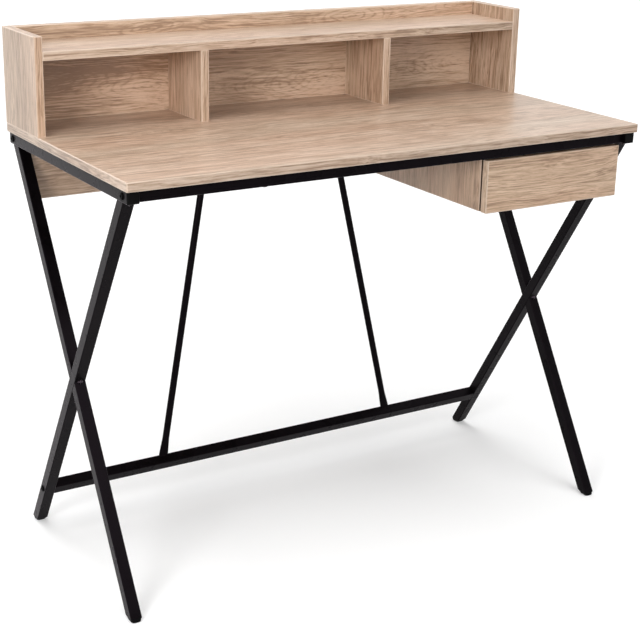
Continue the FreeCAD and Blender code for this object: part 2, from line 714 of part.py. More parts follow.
# Hutch joints: cams and dowels at the shelf's and the back's ends, dowels on top of the dividers,
# screws up through the top and screws in through the back
half_board = dim("board") / 2
bite = dim("dowel_bite")
cam_setback = dim("cam_setback")
shelf_box = box(hutch_shelf)
back_box = box(hutch_back)
front_row = shelf_box.YMin + shelf_box.YLength / 4
rear_row = shelf_box.YMin + shelf_box.YLength * 3 / 4
hutch_cams = []
hutch_dowel_starts = []
base_screw_places = []
back_screw_places = []
for side, sign in SIDES:
    end = sign * shelf_box.XMax
    outward = X * sign
    cam_x = end - sign * cam_setback
    hutch_cams.append(cam_spot(Vector(cam_x, front_row, shelf_box.ZMin), Z, outward))
    hutch_cams.append(cam_spot(Vector(cam_x, back_box.YMax, back_box.Center.z), -Y, outward))
    dowel_x = end + sign * bite
    hutch_dowel_starts.append((Vector(dowel_x, rear_row, shelf_box.Center.z), -outward))
    for level in (back_box.ZMin + 2 * dim("board"), back_box.ZMax - 2 * dim("board")):
        hutch_dowel_starts.append((Vector(dowel_x, back_box.Center.y, level), -outward))
    divider_x = box(dividers[side]).Center.x
    side_x = box(hutch_sides[side]).Center.x
    for row in (front_row, rear_row):
        hutch_dowel_starts.append((Vector(divider_x, row, shelf_box.ZMin + bite), -Z))
        base_screw_places.append(towards(Vector(side_x, row, box(tabletop).ZMin), Z))
    base_screw_places.append(towards(Vector(divider_x, shelf_box.Center.y, box(tabletop).ZMin), Z))
    wing_x = sign * dim("desk_width") / 3
    base_screw_places.append(towards(Vector(wing_x, back_box.Center.y, box(tabletop).ZMin), Z))
    back_screw_places.append(towards(Vector(divider_x, back_box.YMax, box(dividers[side]).Center.z), -Y))
    back_screw_places.append(towards(Vector(wing_x, back_box.YMax, shelf_box.Center.z), -Y))
hutch_cam_holes = cam_joints("hutch_cam", hutch_cams, "cam_depth", "cam_setback", half_board)
hutch_dowel_holes = dowels("hutch_dowels", hutch_dowel_starts)
board_screw = small_screw + ("board + 2 * screw_bite",)
base_screw_holes = fasten("hutch_base_screws", board_screw, base_screw_places, sunk=True)
back_screw_holes = fasten("hutch_back_screws", board_screw, back_screw_places, sunk=True)

# Case joints: cams up into the top, a screw through the panel behind each side, runner screws
case_cams = []
case_screw_places = []
case_runner_places = []
rivet_places = []
for side, sign in SIDES:
    panel_box = box(case_panels[side])
    inner_face = panel_box.Center.x - sign * half_board
    cam_level = panel_box.ZMax - dim("short_cam_setback")
    for y in (panel_box.YMin + dim("case_cam_inset"), panel_box.YMax - dim("case_cam_inset")):
        case_cams.append(cam_spot(Vector(inner_face, y, cam_level), X * sign, Z))
    screw_level = panel_box.ZMin + 2 * dim("board")
    case_screw_places.append(towards(Vector(panel_box.Center.x, box(modesty_panel).YMax, screw_level), -Y))
    runner_box = box(case_runners[side])
    web_face = inner_face - sign * dim("runner_steel")
    for y in (runner_box.YMin + dim("runner_screw_inset"), runner_box.YMax - dim("runner_screw_inset")):
        case_runner_places.append(towards(Vector(web_face, y, box(case_rollers[side]).Center.z), X * sign))
    wheel = box(case_rollers[side]).Center
    seat = wheel.x - sign * (dim("roller_width") / 2 + dim("roller_gap"))
    rivet_places.append(towards(Vector(seat, wheel.y, wheel.z), X * sign))
case_cam_holes = cam_joints("case_cam", case_cams, "cam_depth", "short_cam_setback", half_board)
case_screw_holes = fasten("case_rear_screws", board_screw, case_screw_places, sunk=True)
runner_screw = (
    "runner_screw_head", "runner_screw_head_height", "runner_screw_diameter", "runner_steel + runner_bite")
case_runner_holes = fasten("case_runner_screws", runner_screw, case_runner_places)
rivet = ("rivet_head", "rivet_head_height", "rivet_diameter", "roller_width + 2 * roller_gap")
fasten("case_roller_rivets", rivet, rivet_places)

# Drawer joints: cams and dowels into the front, screws into the back, runner screws from below
half_side = dim("drawer_side") / 2
drawer_cams = []
drawer_dowel_starts = []
drawer_screw_places = []
drawer_runner_places = []
rivet_places = []
for side, sign in SIDES:
    side_box = box(drawer_sides[side])
    inner_face = side_box.Center.x - sign * half_side
    outer_face = side_box.Center.x + sign * half_side
    cam_y = side_box.YMin + dim("short_cam_setback")
    drawer_cams.append(cam_spot(Vector(inner_face, cam_y, side_box.Center.z + half_side), X * sign, -Y))
    dowel_level = side_box.ZMax - bite
    drawer_dowel_starts.append((Vector(side_box.Center.x, side_box.YMin - bite, dowel_level), Y))
    rear = box(drawer_back)
    for level in (rear.ZMin + rear.ZLength / 4, rear.ZMax - rear.ZLength / 4):
        drawer_screw_places.append(towards(Vector(outer_face, rear.Center.y, level), X * -sign))
    runner_box = box(drawer_runners[side])
    for y in (runner_box.YMin + dim("runner_screw_inset"), runner_box.YMax - dim("runner_screw_inset")):
        drawer_runner_places.append(towards(Vector(side_box.Center.x, y, runner_box.ZMin), Z))
    wheel = box(drawer_rollers[side]).Center
    seat = wheel.x + sign * (dim("roller_width") / 2 + dim("roller_gap"))
    rivet_places.append(towards(Vector(seat, wheel.y, wheel.z), X * -sign))
drawer_cam_holes = cam_joints("drawer_cam", drawer_cams, "drawer_cam_depth", "short_cam_setback", half_side)
drawer_dowel_holes = dowels("drawer_dowels", drawer_dowel_starts)
drawer_screw = small_screw + ("drawer_side + 2 * screw_bite",)
drawer_screw_holes = fasten("drawer_back_screws", drawer_screw, drawer_screw_places, sunk=True)
drawer_runner_holes = fasten("drawer_runner_screws", runner_screw, drawer_runner_places)
fasten("drawer_roller_rivets", rivet, rivet_places)

# Boards with every hole, notch and groove cut
cut_piece("tabletop", tabletop, top_screw_holes + base_screw_holes + case_cam_holes)
cut_piece("hutch_back_panel", hutch_back,
          hutch_cam_holes + hutch_dowel_holes + base_screw_holes + back_screw_holes)
cut_piece("hutch_shelf", hutch_shelf, hutch_cam_holes + hutch_dowel_holes + back_screw_holes)
cut_piece("modesty_panel", modesty_panel, panel_screw_holes + brace_screw_holes + case_screw_holes)
cut_piece("drawer_front", drawer_front, [floor_slot] + drawer_cam_holes + drawer_dowel_holes)
cut_piece("drawer_back", drawer_back, drawer_screw_holes)
cut_piece("front_rail", front_rail, top_screw_holes)
cut_piece("rear_rail", rear_rail, top_screw_holes + panel_screw_holes)
for side, sign in SIDES:
    cut_piece(f"hutch_{side}_side", hutch_sides[side],
              hutch_cam_holes + hutch_dowel_holes + base_screw_holes)
    cut_piece(f"hutch_{side}_divider", dividers[side],
              hutch_dowel_holes + base_screw_holes + back_screw_holes)
    case_holes = case_cam_holes + case_screw_holes + case_runner_holes
    cut_piece(f"drawer_case_{side}_panel", case_panels[side], [rail_notch] + case_holes)
    side_holes = drawer_cam_holes + drawer_dowel_holes + drawer_screw_holes + drawer_runner_holes
    cut_piece(f"drawer_{side}_side", drawer_sides[side], [floor_slot] + side_holes)
    cut_piece(f"{side}_case_runner", case_runners[side], case_runner_holes)
    cut_piece(f"{side}_drawer_runner", drawer_runners[side], drawer_runner_holes)
    cut_piece(f"{side}_brace", braces[side], [brace_bores[side], stretcher_bar] + brace_screw_holes)

# End frames cut to length: level at the feet and under the rails, the half legs fitted to the long leg
for side, sign in SIDES:
    cut_piece(f"{side}_end_rail", end_rails[side], frame_bolt_holes)
    trimmed = combine("Common", f"{side}_long_trimmed", long_legs[side], leg_slab)
    cut_piece(f"{side}_long_leg", trimmed, frame_bolt_holes)
    for half, slab in (("upper", upper_slab), ("lower", lower_slab)):
        trimmed = combine("Common", f"{side}_{half}_trimmed", cross_legs[side], slab)
        cut_piece(f"{side}_{half}_half_leg", trimmed, [long_bars[side]])

# Plastic caps in the ends of the end rails: a rounded flange and a spigot inside the tube
flange = block(
    "cap_flange_block", ("tube_side", "cap_flange", "tube_side"), ("0", "-cap_flange / 2", "0"), "cap_rim")
spigot = block(
    "cap_spigot_block", (INNER_BORE, "spigot_length + cap_flange / 2", INNER_BORE),
    ("0", "spigot_length / 2 - cap_flange / 4", "0"), "cap_bevel")
cap = combine("Fuse", "cap", flange, spigot)
half_turn = Rotation(Z, 180)
cap_places = []
for side, sign in SIDES:
    rail_box = box(end_rails[side])
    cap_places.append(Placement(Vector(rail_box.Center.x, rail_box.YMin, rail_box.Center.z), Rotation()))
    cap_places.append(Placement(Vector(rail_box.Center.x, rail_box.YMax, rail_box.Center.z), half_turn))
group_of("rail_end_caps", cap, cap_places)

# Plastic plugs in the feet: the tube's own section carried down to the floor with its rim rounded,
# and a spigot up inside the tube
foot_middle = (f"-{FRAME_CENTRE}", f"-{leg_offset}", f"{RAIL_LOW} / 2")
foot_bar = solid_bar("foot_bar", "Z", leg_blank_length, foot_middle, LEAN)
foot_pad = combine("Common", "foot_pad", foot_bar, level_slab("foot_slab", "0", "foot_height"))
doc.recompute()
foot_round = doc.addObject("Part::Fillet", "foot_round")
foot_round.Base = foot_pad
foot_round.Edges = [
    (number, dim("foot_round"), dim("foot_round"))
    for number, edge in enumerate(foot_pad.Shape.Edges, start=1) if edge.BoundBox.ZMax < 1e-6]
foot_core = solid_bar("foot_core", "Z", leg_blank_length, foot_middle, LEAN, INNER_BORE)
bevel_edges(foot_core, "cap_bevel", is_upright)
core_slab = level_slab("core_slab", "foot_height / 2", "(foot_height + spigot_length)")
foot_spigot = combine("Common", "foot_spigot", foot_core, core_slab)
foot_plug = combine("Fuse", "foot_plug", foot_round, foot_spigot)
across = Vector(2 * box(end_rails["right"]).Center.x, 0, 0)
foot_places = [
    Placement(), Placement(across, Rotation()),
    Placement(Vector(), half_turn), Placement(-across, half_turn)]
group_of("foot_plugs", foot_plug, foot_places)

# Nothing is written unless every object and every piece came out whole
doc.recompute()
failed = [obj.Label for obj in doc.Objects if "Invalid" in obj.State or "Error" in obj.State]
failed += [piece.Label for piece in nodes if piece.Shape.isNull() or not piece.Shape.isValid()]
if failed:
    raise RuntimeError(f"these did not build: {failed}")
os.makedirs("parts", exist_ok=True)
for piece in nodes:
    piece.Shape.exportStep(f"parts/{piece.Label}.step")
    print(piece.Label, len(piece.Shape.Solids), round(piece.Shape.Volume))
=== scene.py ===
import math

import bpy
from mathutils import Matrix, Vector


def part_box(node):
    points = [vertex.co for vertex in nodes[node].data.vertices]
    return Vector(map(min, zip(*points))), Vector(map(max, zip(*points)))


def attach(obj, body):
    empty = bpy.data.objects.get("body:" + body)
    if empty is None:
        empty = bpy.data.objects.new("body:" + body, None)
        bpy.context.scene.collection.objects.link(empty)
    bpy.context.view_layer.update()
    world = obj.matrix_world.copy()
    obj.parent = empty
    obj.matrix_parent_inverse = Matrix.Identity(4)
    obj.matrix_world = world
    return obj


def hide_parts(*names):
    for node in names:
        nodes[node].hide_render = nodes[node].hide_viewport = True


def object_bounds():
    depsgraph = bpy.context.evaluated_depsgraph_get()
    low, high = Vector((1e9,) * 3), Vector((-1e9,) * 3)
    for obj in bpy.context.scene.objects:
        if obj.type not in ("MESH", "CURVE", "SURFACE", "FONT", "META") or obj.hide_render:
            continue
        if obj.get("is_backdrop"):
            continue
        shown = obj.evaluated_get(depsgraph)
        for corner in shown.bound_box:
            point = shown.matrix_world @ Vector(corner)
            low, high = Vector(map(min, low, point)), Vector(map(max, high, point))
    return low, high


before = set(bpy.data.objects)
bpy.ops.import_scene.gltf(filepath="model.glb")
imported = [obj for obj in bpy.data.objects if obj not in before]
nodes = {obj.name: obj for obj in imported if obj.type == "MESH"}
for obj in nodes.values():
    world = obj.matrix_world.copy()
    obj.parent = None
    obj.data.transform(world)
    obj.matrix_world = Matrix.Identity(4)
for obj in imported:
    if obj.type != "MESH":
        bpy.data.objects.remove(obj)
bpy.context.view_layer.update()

# End frames: a rail and two crossed legs of 20 mm square steel tube at each end of the desk.
# One leg of each cross runs through, the other is cut to meet it, and all are welded together
# and then coated black in one go, so the powder covers the weld beads too.


def new_finish(name):
    """A new material, with its node tree, its surface shader and the place of each point on the piece."""
    material = bpy.data.materials.new(name)
    material.use_nodes = True
    tree = material.node_tree
    point = tree.nodes.new("ShaderNodeTexCoord").outputs["Object"]
    return material, tree, tree.nodes["Principled BSDF"], point


def put(tree, kind, sockets=None, **settings):
    """One node of that kind, with its settings, and its sockets set or linked."""
    made = tree.nodes.new(kind)
    for key, value in settings.items():
        setattr(made, key, value)
    for socket, value in (sockets or {}).items():
        if isinstance(value, bpy.types.NodeSocket):
            tree.links.new(value, made.inputs[socket])
        else:
            made.inputs[socket].default_value = value
    return made


def mottle(tree, point, scale, detail=2):
    """Noise from 0 to 1 over the surface, scale being its patches in a metre."""
    noise = put(tree, "ShaderNodeTexNoise", {"Vector": point, "Scale": scale, "Detail": detail})
    return noise.outputs["Fac"]


def ramp(tree, level, *stops):
    """Colour that follows a level through stops of (level, colour)."""
    made = put(tree, "ShaderNodeValToRGB", {"Fac": level})
    elements = made.color_ramp.elements
    while len(elements) < len(stops):
        elements.new(0.5)
    for element, (spot, colour) in zip(elements, stops):
        element.position = spot
        element.color = (*colour, 1)
    return made.outputs["Color"]


def spread(tree, level, low, high):
    """Level from 0 to 1 carried to the range from low to high, and held within it."""
    made = put(tree, "ShaderNodeMapRange", {"Value": level, "To Min": low, "To Max": high})
    return made.outputs["Result"]


def paint(tree, surface, colour, roughness):
    """Give the surface shader a colour and a roughness that vary over the piece."""
    tree.links.new(colour, surface.inputs["Base Color"])
    tree.links.new(roughness, surface.inputs["Roughness"])


def relief(tree, surface, height, depth):
    """Bump of that depth in metres under the surface shader."""
    bump = put(tree, "ShaderNodeBump", {"Height": height, "Distance": depth})
    tree.links.new(bump.outputs["Normal"], surface.inputs["Normal"])


def powder_coat(name, smooth, rough, gloss):
    """Black baked powder: faint clouds in the black and the fine orange peel of the coat."""
    material, tree, surface, point = new_finish(name)
    clouds = mottle(tree, point, scale=26, detail=3)
    peel = mottle(tree, point, scale=850)
    black = ramp(tree, clouds, (0.35, (0.0014, 0.0010, 0.0013)), (0.65, (0.0028, 0.0021, 0.0027)))
    paint(tree, surface, black, spread(tree, clouds, smooth, rough))
    surface.inputs["Specular IOR Level"].default_value = gloss
    surface.inputs["Specular Tint"].default_value = (1, 0.78, 0.95, 1)
    surface.inputs["Sheen Weight"].default_value = 0.7
    surface.inputs["Sheen Roughness"].default_value = 0.25
    surface.inputs["Sheen Tint"].default_value = (1, 0.90, 0.97, 1)
    relief(tree, surface, peel, depth=0.00004)
    return material


def dress(material, *names):
    """Give that finish to pieces of the frame."""
    for name in names:
        slots = nodes[name].data.materials
        for place in range(len(slots)):
            slots[place] = material


def both(pattern):
    """The names of a left and a right piece."""
    return [pattern.format(side) for side in ("left", "right")]


black_coat = powder_coat("black_powder_coat", smooth=0.22, rough=0.34, gloss=0.045)
dress(black_coat, *both("{}_end_rail"), *both("{}_long_leg"))
dress(black_coat, *both("{}_upper_half_leg"), *both("{}_lower_half_leg"))


def new_tree(name, *sockets):
    """A geometry tree with geometry in and out and those further named inputs."""
    tree = bpy.data.node_groups.new(name, "GeometryNodeTree")
    tree.interface.new_socket("Geometry", in_out="INPUT", socket_type="NodeSocketGeometry")
    for label, kind in sockets:
        tree.interface.new_socket(label, in_out="INPUT", socket_type=f"NodeSocket{kind}")
    tree.interface.new_socket("Geometry", in_out="OUTPUT", socket_type="NodeSocketGeometry")
    return tree, tree.nodes.new("NodeGroupInput").outputs


def close_tree(tree, geometry, material):
    """Ends a tree with plain mesh in one material."""
    plain = put(tree, "GeometryNodeRealizeInstances", {"Geometry": geometry})
    coated = put(tree, "GeometryNodeSetMaterial", {"Geometry": plain.outputs[0], "Material": material})
    end = tree.nodes.new("NodeGroupOutput")
    tree.links.new(coated.outputs[0], end.inputs[0])


def placed(name, data):
    """A new object in the scene, made of that mesh, light or camera."""
    made = bpy.data.objects.new(name, data)
    bpy.context.scene.collection.objects.link(made)
    return made


def settle(piece, modifier):
    """Turn what the modifier makes into the piece's own plain mesh, and take the modifier off."""
    seen = piece.evaluated_get(bpy.context.evaluated_depsgraph_get())
    plain = bpy.data.meshes.new_from_object(seen)
    piece.modifiers.remove(modifier)
    piece.data = plain


def grown(name, mesh, tree, **sizes):
    """Piece of that name: the plain mesh that the tree makes of the mesh with those inputs."""
    piece = placed(name, mesh)
    modifier = piece.modifiers.new(tree.name, "NODES")
    modifier.node_group = tree
    for item in tree.interface.items_tree:
        label = item.name.lower().replace(" ", "_")
        if item.in_out == "INPUT" and label in sizes:
            modifier[item.identifier] = sizes[label]
    settle(piece, modifier)
    return piece


def maths(tree, operation, first, second=0.0):
    """Result of a sum on one or two levels."""
    return put(tree, "ShaderNodeMath", {0: first, 1: second}, operation=operation).outputs[0]


RIPPLE_STEPS = 6
BEAD_SIDES = 10
BLUNT_END = 0.2


def weld_tree():
    """A bead along each edge of a mesh: a round cord whose size rises and falls once a ripple."""
    tree, given = new_tree(
        "weld_bead", ("Bead Width", "Float"), ("Ripple Pitch", "Float"), ("Ripple Depth", "Float"),
        ("Finish", "Material"))
    line = put(tree, "GeometryNodeMeshToCurve", {"Mesh": given["Geometry"]})
    step = maths(tree, "DIVIDE", given["Ripple Pitch"], RIPPLE_STEPS)
    fine = put(tree, "GeometryNodeResampleCurve", {"Curve": line.outputs[0], "Length": step}, mode="LENGTH")
    along = put(tree, "GeometryNodeSplineParameter").outputs["Length"]
    whole = put(tree, "GeometryNodeSplineLength").outputs["Length"]
    turn = maths(tree, "MULTIPLY", maths(tree, "DIVIDE", along, given["Ripple Pitch"]), 2 * math.pi)
    ripple = maths(tree, "MULTIPLY", maths(tree, "SINE", turn), given["Ripple Depth"])
    half = maths(tree, "MULTIPLY", given["Bead Width"], 0.5)
    to_end = maths(tree, "MINIMUM", along, maths(tree, "SUBTRACT", whole, along))
    taper = maths(tree, "MINIMUM", maths(tree, "DIVIDE", to_end, half), 1)
    blunt = maths(tree, "MAXIMUM", maths(tree, "POWER", taper, 0.5), BLUNT_END)
    size = maths(tree, "MULTIPLY", maths(tree, "MULTIPLY", half, maths(tree, "ADD", ripple, 1)), blunt)
    section = put(tree, "GeometryNodeCurvePrimitiveCircle", {"Resolution": BEAD_SIDES, "Radius": 1.0})
    bead = put(tree, "GeometryNodeCurveToMesh", {
        "Curve": fine.outputs[0], "Profile Curve": section.outputs[0], "Scale": size, "Fill Caps": True})
    close_tree(tree, bead.outputs[0], given["Finish"])
    return tree


# Middle of the upper end and of the foot of the leg that leans back towards the floor
LEG_TOP = Vector((0, -0.217, 0.710))
LEG_FOOT = Vector((0, 0.213, 0.0))
TUBE = 0.020
BEAD_WIDTH = 0.0095
lean = math.atan2(LEG_FOOT.y - LEG_TOP.y, LEG_TOP.z)
half_across = TUBE / 2 / math.cos(lean)
half_upright = TUBE / 2 / math.sin(lean)
crossing = LEG_TOP.z * LEG_FOOT.y / (LEG_FOOT.y - LEG_TOP.y)

# A bead fills each corner round the crossing and each side of a leg's head, at these (y, z)
corners = [(side * half_across, crossing) for side in (-1, 1)]
corners += [(0, crossing + side * half_upright) for side in (-1, 1)]
for leg_top in (LEG_TOP.y, -LEG_TOP.y):
    corners += [(leg_top + side * half_across, LEG_TOP.z) for side in (-1, 1)]
seam_ends = []
for rail in both("{}_end_rail"):
    low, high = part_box(rail)
    inner, outer = low.x + BEAD_WIDTH / 2, high.x - BEAD_WIDTH / 2
    seam_ends += [(x, y, z) for y, z in corners for x in (inner, outer)]
seams = bpy.data.meshes.new("seams")
seams.from_pydata(seam_ends, [(i, i + 1) for i in range(0, len(seam_ends), 2)], [])
thin_coat = powder_coat("thin_coat_on_the_welds", smooth=0.14, rough=0.28, gloss=0.5)
weld_beads = grown(
    "weld_beads", seams, weld_tree(), bead_width=BEAD_WIDTH, ripple_pitch=0.0034, ripple_depth=0.28,
    finish=thin_coat)
weld_beads.data.shade_smooth()
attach(weld_beads, "desk")

# Plugs in the open tube ends: injection-moulded black polyethylene with a fine spark-eroded
# grain, pushed in by hand. The foot plugs carry the desk and keep the steel off the floor.


def moulded_plastic():
    """Black plastic: the grain of its mould, and faint clouds where it flowed."""
    material, tree, surface, point = new_finish("black_moulded_plastic")
    grain = mottle(tree, point, scale=1600, detail=1)
    flow = mottle(tree, point, scale=60)
    black = ramp(tree, flow, (0.3, (0.0016, 0.0015, 0.0016)), (0.7, (0.0032, 0.0030, 0.0032)))
    paint(tree, surface, black, spread(tree, grain, 0.45, 0.62))
    surface.inputs["Specular IOR Level"].default_value = 0.05
    relief(tree, surface, grain, depth=0.00003)
    return material


plastic = moulded_plastic()
dress(plastic, "rail_end_caps")


def fastener_tree():
    """One copy on every point, its +Z along the point's outward and its +X along its heading."""
    tree, given = new_tree("set_fasteners", ("Fastener", "Object"), ("Sink", "Float"), ("Finish", "Material"))
    ways = []
    for label in ("outward", "heading"):
        way = put(tree, "GeometryNodeInputNamedAttribute", {"Name": label}, data_type="FLOAT_VECTOR")
        ways.append(way.outputs[0])
    depth = maths(tree, "MULTIPLY", given["Sink"], -1)
    shift = put(tree, "ShaderNodeVectorMath", {0: ways[0], "Scale": depth}, operation="SCALE")
    seated = put(tree, "GeometryNodeSetPosition", {"Geometry": given["Geometry"], "Offset": shift.outputs[0]})
    upright = put(tree, "FunctionNodeAlignRotationToVector", {"Vector": ways[0]}, axis="Z")
    turned_to = put(tree, "FunctionNodeAlignRotationToVector", {
        "Rotation": upright.outputs[0], "Vector": ways[1]}, axis="X", pivot_axis="Z")
    model = put(tree, "GeometryNodeObjectInfo", {"Object": given["Fastener"], "As Instance": True})
    copies = put(tree, "GeometryNodeInstanceOnPoints", {
        "Points": seated.outputs[0], "Instance": model.outputs["Geometry"], "Rotation": turned_to.outputs[0]})
    close_tree(tree, copies.outputs[0], given["Finish"])
    return tree


set_fasteners = fastener_tree()
# Radians from the slot of one head to that of the next
DRIVER_TURN = 2.4


def fasten(name, model, spots, material, body, sink=0.0):
    """Set the fastener on each spot, which is a point, its outward way and any heading of its slot.
    A driver leaves every head at another angle, so a spot with no heading gets one in turn."""
    seats = bpy.data.meshes.new(name)
    seats.from_pydata([spot[0] for spot in spots], [], [])
    ways = {"outward": [], "heading": []}
    for place, spot in enumerate(spots):
        outward = Vector(spot[1])
        heading = Vector(spot[2]) if len(spot) > 2 else outward.orthogonal()
        if len(spot) == 2:
            heading = Matrix.Rotation(DRIVER_TURN * place, 3, outward) @ heading
        ways["outward"].extend(outward)
        ways["heading"].extend(heading)
    for label, values in ways.items():
        seats.attributes.new(label, "FLOAT_VECTOR", "POINT").data.foreach_set("vector", values)
    piece = grown(name, seats, set_fasteners, fastener=model, sink=sink, finish=material)
    bpy.data.objects.remove(model)
    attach(piece, body)
    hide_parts(name)
    return piece


CORNER_STEPS = 6


def rounded_ring(half_width, half_depth, corner, lean_by, level):
    """Points of a rounded oblong at that level, shifted back as the leg leans."""
    ring = []
    for turn in range(4 * CORNER_STEPS):
        quarter, step = divmod(turn, CORNER_STEPS)
        angle = math.pi / 2 * (quarter + step / (CORNER_STEPS - 1))
        across = (half_width - corner) * (1 if quarter in (0, 3) else -1)
        deep = (half_depth - corner) * (1 if quarter in (0, 1) else -1) + lean_by * level
        ring.append((across + corner * math.cos(angle), deep + corner * math.sin(angle), level))
    return ring


def shaped(name, points, faces):
    """A new object of those points and faces."""
    mesh = bpy.data.meshes.new(name)
    mesh.from_pydata(points, [], faces)
    return placed(name, mesh)


WALL = 0.0013
SPIGOT_CORNER = 0.0008
PAD_RISE = 0.007
# Each level of the pad from its shoulder to the floor: share of its rise, inset, radius of its corners
PAD_RIM = [(1.0, 0.0, 0.0015), (0.85, 0.0004, 0.0030), (0.65, 0.0008, 0.0046), (0.35, 0.0012, 0.0052),
           (0.15, 0.0019, 0.0052), (0.05, 0.0029, 0.0048), (0.0, 0.0042, 0.0040)]


def foot_plug():
    """A pad as wide as the leaning tube, its rim rounded to the floor, under a square spigot."""
    leans = math.tan(lean)
    stretch = 1 / math.cos(lean)
    spigot = TUBE / 2 - WALL
    rings = []
    for level in (PAD_RISE * 2, PAD_RISE):
        rings.append(rounded_ring(spigot, spigot * stretch, SPIGOT_CORNER, leans, level))
    for share, inset, corner in PAD_RIM:
        half = TUBE / 2 - inset
        rings.append(rounded_ring(half, half * stretch, corner, leans, PAD_RISE * share))
    count = len(rings[0])
    points = [point for ring in rings for point in ring]
    faces = [list(range(count)), list(range(len(points) - 1, len(points) - count - 1, -1))]
    for upper in range(0, len(points) - count, count):
        for turn in range(count):
            after = (turn + 1) % count
            faces.append([upper + turn, upper + count + turn, upper + count + after, upper + after])
    return shaped("foot_plug", points, faces)


def middle(node):
    """Middle of the node's box."""
    low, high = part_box(node)
    return (low + high) / 2


SHARP_EDGE = math.radians(50)
foot_spots = []
for rail in both("{}_end_rail"):
    for way in (-1, 1):
        foot_spots.append(((middle(rail).x, way * LEG_FOOT.y, 0), (0, 0, 1), (-way, 0, 0)))
foot_plugs = fasten("foot_plugs", foot_plug(), foot_spots, plastic, "desk")
foot_plugs.data.shade_smooth()
foot_plugs.data.set_sharp_from_angle(angle=SHARP_EDGE)

# Front rail, rear rail and stretcher: the same tube, each closed at its ends by a threaded steel
# plug. A flat-headed bolt goes through the end frame into every plug, turned with a hex key.


def bright_zinc():
    """Zinc plating: pale grey metal, faintly blotched blue and yellow, and not quite even."""
    material, tree, surface, point = new_finish("bright_zinc_plate")
    blotch = mottle(tree, point, scale=90, detail=4)
    grey = ramp(tree, blotch, (0.3, (0.50, 0.51, 0.55)), (0.5, (0.60, 0.60, 0.60)), (0.7, (0.62, 0.60, 0.54)))
    dull = mottle(tree, point, scale=400, detail=3)
    paint(tree, surface, grey, spread(tree, dull, 0.26, 0.44))
    surface.inputs["Metallic"].default_value = 1.0
    relief(tree, surface, mottle(tree, point, scale=700), depth=0.00002)
    return material


zinc = bright_zinc()
dress(black_coat, "front_rail", "rear_rail", "stretcher")
dress(zinc, "threaded_end_plugs")


def black_oxide():
    """Blackened fastener steel: a dull black, without the sheen of the powder coat around it."""
    material, tree, surface, point = new_finish("black_oxide_steel")
    worn = mottle(tree, point, scale=500, detail=3)
    black = ramp(tree, worn, (0.4, (0.0016, 0.0015, 0.0017)), (0.75, (0.0040, 0.0037, 0.0040)))
    paint(tree, surface, black, spread(tree, worn, 0.30, 0.46))
    surface.inputs["Specular IOR Level"].default_value = 0.02
    return material


def turned(name, outline, sides=24):
    """Solid turned about +Z from (radius, height) points that start and end on the axis."""
    points, rings, faces = [], [], []
    for radius, height in outline:
        count = sides if radius else 1
        rings.append(range(len(points), len(points) + count))
        for turn in range(count):
            angle = 2 * math.pi * turn / sides
            points.append((radius * math.cos(angle), radius * math.sin(angle), height))
    for upper, lower in zip(rings, rings[1:]):
        for turn in range(sides):
            after = (turn + 1) % sides
            face = [upper[turn % len(upper)], lower[turn % len(lower)],
                    lower[after % len(lower)], upper[after % len(upper)]]
            faces.append(list(dict.fromkeys(face)))
    return shaped(name, points, faces)


THREAD_ROOT = 0.8


def thread(radius, start, end, pitch):
    """Outline of a threaded shank, from its first crest down to its tip."""
    count = max(1, round((start - end) / pitch))
    step = (start - end) / count
    crest_at, root_at = 0.15, 0.65
    outline = []
    for turn in range(count):
        outline.append((radius, start - step * (turn + crest_at)))
        outline.append((radius * THREAD_ROOT, start - step * (turn + root_at)))
    return outline


def punched(blank, punch, place=Matrix()):
    """The blank with the punch's form cut out of it; the punch is used up."""
    punch.data.transform(place)
    cut = blank.modifiers.new("punch", "BOOLEAN")
    cut.operation = "DIFFERENCE"
    cut.solver = "EXACT"
    cut.object = punch
    settle(blank, cut)
    bpy.data.objects.remove(punch)
    return blank


def frame_bolt():
    """Flat button head, 12 mm wide, with a hex socket and a rolled M6 thread."""
    head, height, shank, length = 0.006, 0.0026, 0.003, 0.032
    plain, pitch = 0.018, 0.001
    key, key_floor = 0.0023, 0.0006
    over = height * 1.5
    crown = [(0, height), (head * 0.62, height), (head * 0.86, height * 0.82), (head, height * 0.35)]
    body = [(head, 0), (shank, 0), *thread(shank, -plain, -length, pitch), (0, -length)]
    socket = turned("hex_socket", [(0, over), (key, over), (key, key_floor), (0, 0)], sides=6)
    return punched(turned("frame_bolt", crown + body), socket)


def side_face(node, way):
    """Place along the desk of the node's right face, for a way of 1, or of its left face, for -1."""
    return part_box(node)[way > 0].x


oxide = black_oxide()
bolt_spots = []
for rail in ("front_rail", "rear_rail", "stretcher"):
    for end_rail, way in (("left_end_rail", -1), ("right_end_rail", 1)):
        bolt_spots.append(((side_face(end_rail, way), *middle(rail).yz), (way, 0, 0)))
fasten("frame_bolts", frame_bolt(), bolt_spots, oxide, "desk")

# Panel behind the knees and the two sides of the drawer case: 15 mm chipboard faced with an
# oak-print paper, the cut edges banded in the same print. Three screws through the rear rail hold
# the panel; cams and screws hold the case to it and to the top.

# Colours of the print from its darkest lines to its palest, and two tints that it drifts between
OAK_TONES = [(0.24, (0.300, 0.188, 0.122)), (0.42, (0.455, 0.313, 0.216)),
             (0.55, (0.555, 0.398, 0.288)), (0.76, (0.665, 0.508, 0.393))]
WARM_PATCH = (1.03, 0.99, 0.965)
COOL_PATCH = (0.98, 1.005, 1.0)
PORE_MARK = (0.80, 0.76, 0.72)
# Weights of its bands and lines, and how far they sway across the grain
BROAD, NARROW, LINES, FIBRE = 0.48, 0.58, 1.25, 0.62
DRIFT, WAVER = 0.060, 0.0050
